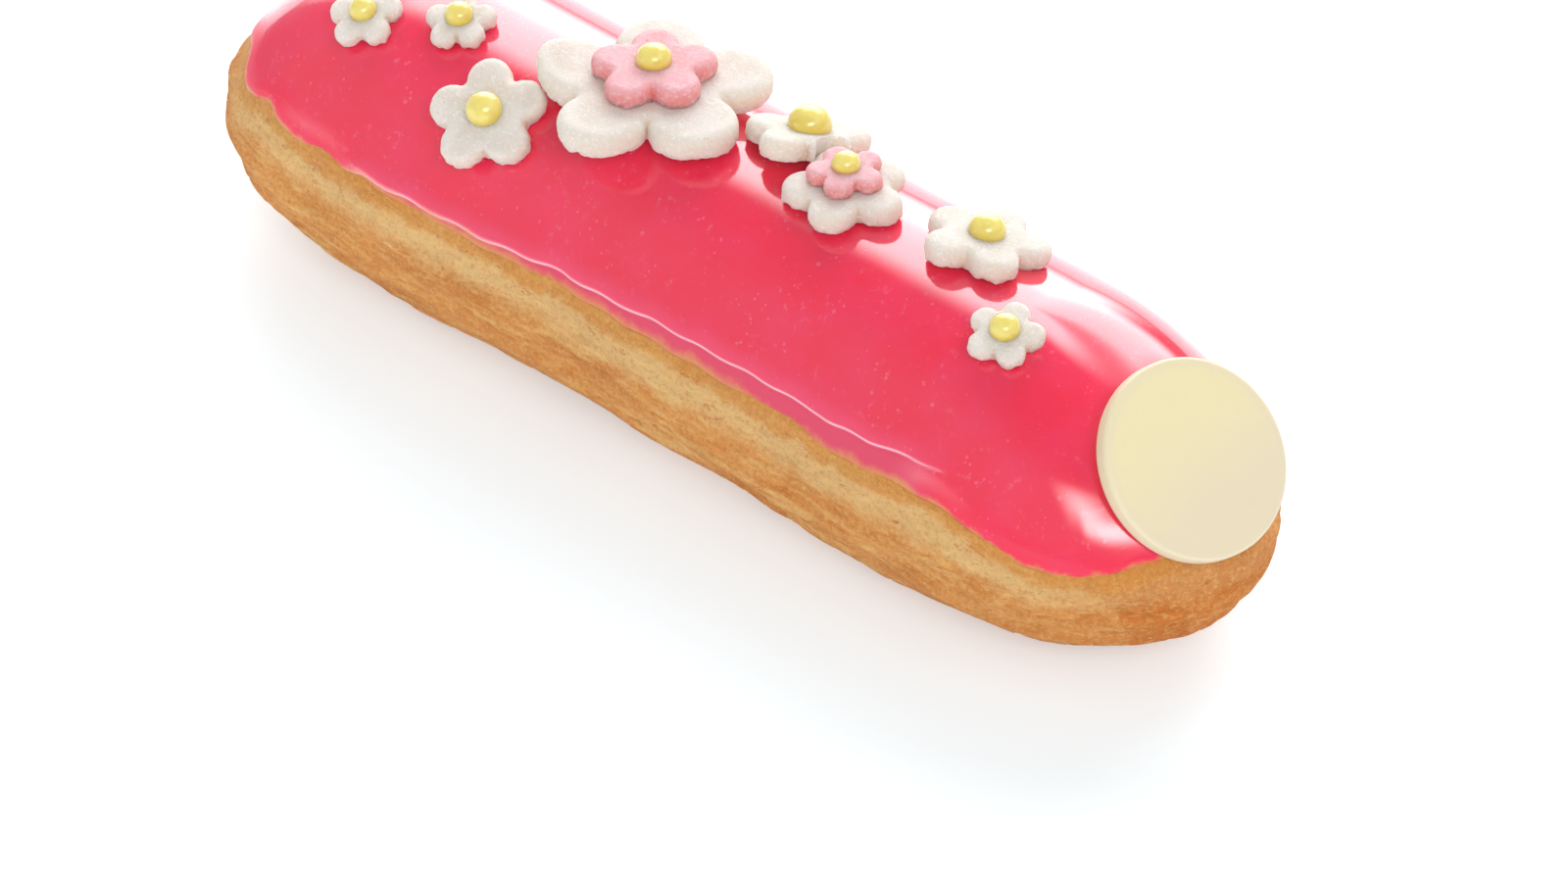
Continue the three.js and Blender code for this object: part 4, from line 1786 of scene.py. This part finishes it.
@dataclass
class FlowerBed:
    """All the flowers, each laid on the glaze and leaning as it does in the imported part."""

    loaf: Loaf
    cutter: FlowerCutter = FlowerCutter()
    piper: DropPiper = DropPiper()
    gap: float = 0.3
    upper_sink: float = 0.05
    settling: int = 5
    white: PasteFinish = PasteFinish(
        name="white_sugar_paste",
        top=srgb(236, 230, 223),
        tint=srgb(230, 221, 210),
        wall=srgb(240, 227, 211),
        painted_crease_shade=srgb(206, 172, 134),
        bright=srgb(252, 248, 243),
        fleck=srgb(214, 186, 158),
    )
    pink: PasteFinish = PasteFinish(
        name="pink_sugar_paste",
        top=srgb(255, 194, 204),
        tint=srgb(255, 182, 190),
        wall=srgb(254, 150, 148),
        painted_crease_shade=srgb(230, 104, 100),
        bright=srgb(255, 208, 208),
        fleck=srgb(226, 92, 96),
    )
    yellow: YellowFinish = field(default_factory=YellowFinish)

    def frame(self, flower: Flower) -> Matrix:
        """A frame that stands on the glaze at the flower's place, just clear of it.

        Args:
            flower: the flower.

        Returns:
            The frame, in millimetres.
        """
        loaf = self.loaf
        normal = loaf.crown_normal(flower.x, flower.y)
        along_x = (Vector((1, 0, 0)) - normal * normal.x).normalized()
        along_y = normal.cross(along_x)
        lean_x, lean_y = (math.tan(math.radians(lean)) for lean in flower.lean)
        up = (normal + along_x * lean_x + along_y * lean_y).normalized()
        forward = (along_x - up * along_x.dot(up)).normalized()
        turned = Matrix((forward, up.cross(forward), up)).transposed()
        spin = Matrix.Rotation(math.radians(flower.lower.turn), 3, "Z")
        flat = self.cutter.outline(flower.lower, 0)[::4]
        rises = self.cutter.petal_rise(flat, flower.lower.tip, flower.raised_by)
        under = [turned @ (spin @ Vector((x, y, z))) for (x, y), z in zip(flat, rises)]
        under.append(Vector((0, 0, 0)))
        foot = Vector((flower.x, flower.y, loaf.crown_height(flower.x, flower.y)))
        for _ in range(self.settling):
            gap = min((foot + p).z - loaf.crown_height(foot.x + p.x, foot.y + p.y) for p in under)
            foot += up * (self.gap - gap)
        return Matrix.Translation(foot) @ turned.to_4x4()

    def build(self) -> list[bpy.types.Object]:
        """Builds and dresses every flower.

        Returns:
            The pieces, flower by flower.
        """
        white, pink, yellow = self.white.material(), self.pink.material(), self.yellow.material()
        made = []
        for flower in FLOWERS:
            number, lower, upper = flower.number, flower.lower, flower.upper
            frame = self.frame(flower)
            piece = self.cutter.cut(f"white_petals_{number}", lower, flower, -self.gap)
            spin = Matrix.Rotation(math.radians(lower.turn), 4, "Z")
            made.append(dress(piece, white, f"white_flower_{number}", frame @ spin))
            top, middle = lower.sheet, (0.0, 0.0)
            if upper is not None:
                middle = upper.shift
                foot = -self.gap - self.upper_sink
                piece = self.cutter.cut(f"pink_petals_{number}", upper, flower, foot)
                stand = Matrix.Translation((*middle, top + self.gap))
                where = frame @ stand @ Matrix.Rotation(math.radians(upper.turn), 4, "Z")
                made.append(dress(piece, pink, f"pink_flower_{number}", where))
                top += self.gap + upper.sheet
            piece = self.piper.pipe(f"yellow_drop_{number}", flower.centre, top, middle)
            made.append(dress(piece, yellow, f"yellow_centre_{number}", frame))
        return made


# ---------------------------------------------------------------- the plaque


@dataclass
class Plaque:
    """A thin round plaque of white chocolate that leans on the glazed right end."""

    loaf: Loaf
    finish: ChocolateFinish = field(default_factory=ChocolateFinish)
    radius: float = 10.66
    thickness: float = 1.7
    place: Triple = (62.3, -1.1, 24.1)
    tilt: float = 45.7
    swing: float = -9.6
    gap: float = 0.3
    rim: float = 0.45
    back_rim: float = 0.2
    around: int = 180
    face_rings: int = 22
    rim_rings: int = 6
    wall_shares: Triple = (0.66, 0.33, 0)
    uneven: Lumps = Lumps(0.05, 5, 1, 3)
    # Sideways share of the painted shading's slope across the face.
    painted_shading_slope: float = 0.2
    search_steps: int = 60

    def foot(self, facing: Vector) -> Vector:
        """The middle of its back, on the plane just clear of the glaze.

        Args:
            facing: the direction that its face looks in.

        Returns:
            The place in millimetres.
        """
        loaf = self.loaf
        steps = self.search_steps
        start = loaf.length / 2 - loaf.right.reach
        reach = -math.inf
        for i in range(steps):
            for k in range(1, steps):
                x = start + loaf.right.reach * i / steps
                y = loaf.bend(x) + loaf.width * (k / steps - 0.5)
                height = loaf.crown_height(x, y)
                if height > loaf.waist:
                    reach = max(reach, Vector((x, y, height)).dot(facing))
        foot = Vector(self.place)
        return foot + facing * (reach + self.gap - foot.dot(facing))

    def profile(self) -> list[Pair]:
        """Distances from its middle and heights over its back, from the middle of its face round.

        Returns:
            Pairs of distance and height.
        """
        top = self.thickness
        inner = self.radius - self.rim
        face = [(inner * k / self.face_rings, top) for k in range(self.face_rings)]
        rounded = [math.pi / 2 * k / self.rim_rings for k in range(self.rim_rings + 1)]
        face += [(inner + self.rim * math.sin(a), top - self.rim * (1 - math.cos(a))) for a in rounded]
        low = self.back_rim - self.gap
        wall = [(self.radius, low + (top - self.rim - low) * share) for share in self.wall_shares]
        back = [(out, -self.gap) for out in (self.radius - self.back_rim, self.radius / 2, 0)]
        return face + wall + back

    def build(self) -> bpy.types.Object:
        """Builds and dresses the plaque.

        Returns:
            The plaque.
        """
        around = compass(np.arange(self.around) * 2 * np.pi / self.around)
        rings = [np.column_stack([out * around, np.full(self.around, z)]) for out, z in self.profile()]
        points = np.array(rings)
        out = np.hypot(points[..., 0], points[..., 1]) / self.radius
        on_face = points[..., 2] > self.thickness - self.rim
        points[..., 2] += np.where(on_face, self.uneven.at(points) * (1 - out**2), 0)
        swing = Matrix.Rotation(math.radians(self.swing), 4, "Z")
        turned = swing @ Matrix.Rotation(math.radians(self.tilt), 4, "Y")
        facing = turned.to_3x3() @ Vector((0, 0, 1))
        # Where each point lies down the face, for the finish's painted shading.
        painted_shading_slope = (points[..., 0] + points[..., 1] * self.painted_shading_slope) / self.radius
        piece = wrap_grid("chocolate_plaque", points, {"rim": out, "painted_shading_slope": painted_shading_slope})
        where = Matrix.Translation(self.foot(facing)) @ turned
        return dress(piece, self.finish.material(), "white_plaque", where)


# ---------------------------------------------------------------- studio


@dataclass(frozen=True)
class SoftLight:
    """A soft light in the world, in degrees but for its strength.

    It holds where it stands, half its width and height, how far its edges fade, and its strength.
    """

    azimuth: float
    elevation: float
    half_width: float
    half_height: float
    soft: float
    strength: float

    def directions(self) -> tuple[Vector, Vector, Vector]:
        """Unit directions to its middle, to its right and up.

        Returns:
            The three directions.
        """
        turn, rise = math.radians(self.azimuth), math.radians(self.elevation)
        level = math.cos(rise)
        towards = Vector((level * math.cos(turn), level * math.sin(turn), math.sin(rise)))
        right = Vector((-math.sin(turn), math.cos(turn), 0))
        return towards, right, towards.cross(right)

    def patch(self, nodes: Nodes) -> Socket:
        """Its strength in each direction of the world.

        Args:
            nodes: the world's nodes.

        Returns:
            The strength, 0 away from the light.
        """
        looked_at = nodes.add("ShaderNodeTexCoord").outputs["Generated"]

        def share(direction: Vector) -> Socket:
            """How much of the looked-at direction lies along another."""
            inputs = {0: looked_at, 1: direction}
            return nodes.add("ShaderNodeVectorMath", inputs, operation="DOT_PRODUCT").outputs["Value"]

        def within(direction: Vector, half: float) -> Socket:
            """1 near the middle and 0 past an angle to each side."""
            inner, outer = (math.sin(math.radians(half + soft)) for soft in (-self.soft, self.soft))
            return nodes.step(nodes.maths("ABSOLUTE", share(direction)), Step(inner, outer, 1, 0))

        middle, right, up = self.directions()
        wide, high = within(right, self.half_width), within(up, self.half_height)
        ahead = nodes.maths("GREATER_THAN", share(middle), 0.0)
        return nodes.times(wide, high, ahead, self.strength)


@dataclass
class Studio:
    """A white floor, soft light all round and the camera of the photograph."""

    target: Triple = (0, 0, 17.81)
    azimuth: float = 42.939
    elevation: float = 36.4
    distance: float = 942.8
    lens: float = 203.1
    sensor: float = 36
    clip: Pair = (0.01, 20)
    aim_right: float = 3.622
    aim_down: float = 19.155
    ambient: float = 0.44
    floor_size: float = 6
    floor_glow: float = 0.44
    floor_grey: Colour = (0.62, 0.69, 0.725, 1.0)
    lights: tuple[SoftLight, ...] = (
        SoftLight(119, 35, 27, 18, 6, 5.5),
        SoftLight(133, 13, 22, 8, 7, 5.0),
        SoftLight(-38, 40, 14, 8, 7, 10.0),
        SoftLight(8, 46, 20, 14, 8, 1.3),
        SoftLight(-124, 4, 15, 6, 5, 2.3),
        SoftLight(-105, 30, 60, 28, 18, 0.3),
    )

    def sight(self) -> tuple[Vector, Vector, Vector]:
        """Directions from the target to the camera, to the picture's right and up.

        Returns:
            The three directions.
        """
        turn, rise = math.radians(self.azimuth), math.radians(self.elevation)
        level = math.cos(rise)
        back = Vector((level * math.sin(turn), -level * math.cos(turn), math.sin(rise)))
        right = Vector((math.cos(turn), math.sin(turn), 0))
        return back, right, back.cross(right)

    def camera(self) -> None:
        """Adds the camera."""
        back, right, up = self.sight()
        target = Vector(self.target)
        aim = target + right * self.aim_right - up * self.aim_down
        place = target + back * self.distance
        data = bpy.data.cameras.new("photo_camera")
        data.lens = self.lens
        data.sensor_width = self.sensor
        data.clip_start, data.clip_end = self.clip
        camera = bpy.data.objects.new("photo_camera", data)
        bpy.context.scene.collection.objects.link(camera)
        camera.location = place * MM
        camera.rotation_euler = (aim - place).to_track_quat("-Z", "Y").to_euler()
        bpy.context.scene.camera = camera

    def floor(self) -> None:
        """Adds the white floor, which glows a little."""
        object_mode()
        bpy.ops.mesh.primitive_plane_add(size=self.floor_size, location=(0, 0, 0))
        floor = bpy.context.object
        floor.name = "studio_floor"
        white = Mixer("studio_white").finish(
            self.floor_grey,
            Roughness=0.9,
            Specular_IOR_Level=0.1,
            Emission_Color=WHITE,
            Emission_Strength=self.floor_glow,
        )
        floor.data.materials.append(white)

    def world(self) -> None:
        """Lights the scene from soft patches of the world, seen as plain white by the camera."""
        world = bpy.data.worlds.new("studio")
        bpy.context.scene.world = world
        world.use_nodes = True
        nodes = Nodes(world.node_tree)
        nodes.tree.nodes.clear()
        total: Value = self.ambient
        for light in self.lights:
            total = nodes.plus(total, light.patch(nodes))
        lit = nodes.add("ShaderNodeBackground", {"Strength": total}).outputs[0]
        seen = nodes.add("ShaderNodeBackground", {"Color": WHITE}).outputs[0]
        by_camera = nodes.add("ShaderNodeLightPath").outputs["Is Camera Ray"]
        shown = nodes.add("ShaderNodeMixShader", {0: by_camera, 1: lit, 2: seen}).outputs[0]
        nodes.add("ShaderNodeOutputWorld", {"Surface": shown})

    def build(self) -> None:
        """Builds the studio."""
        self.camera()
        self.floor()
        self.world()
        bpy.context.scene.view_settings.view_transform = "Standard"


def main() -> None:
    """Builds the pieces in order and reports each."""
    logging.basicConfig(level=logging.INFO, format="%(message)s")
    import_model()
    loaf = Loaf()
    pieces = [ChouxShell(loaf).build(), GlazeCoat(loaf).build()]
    pieces += FlowerBed(loaf).build()
    pieces.append(Plaque(loaf).build())
    Studio().build()
    for piece in pieces:
        LOG.info("%s: %d faces", piece.name, len(piece.data.polygons))


if __name__ == "__main__":
    main()
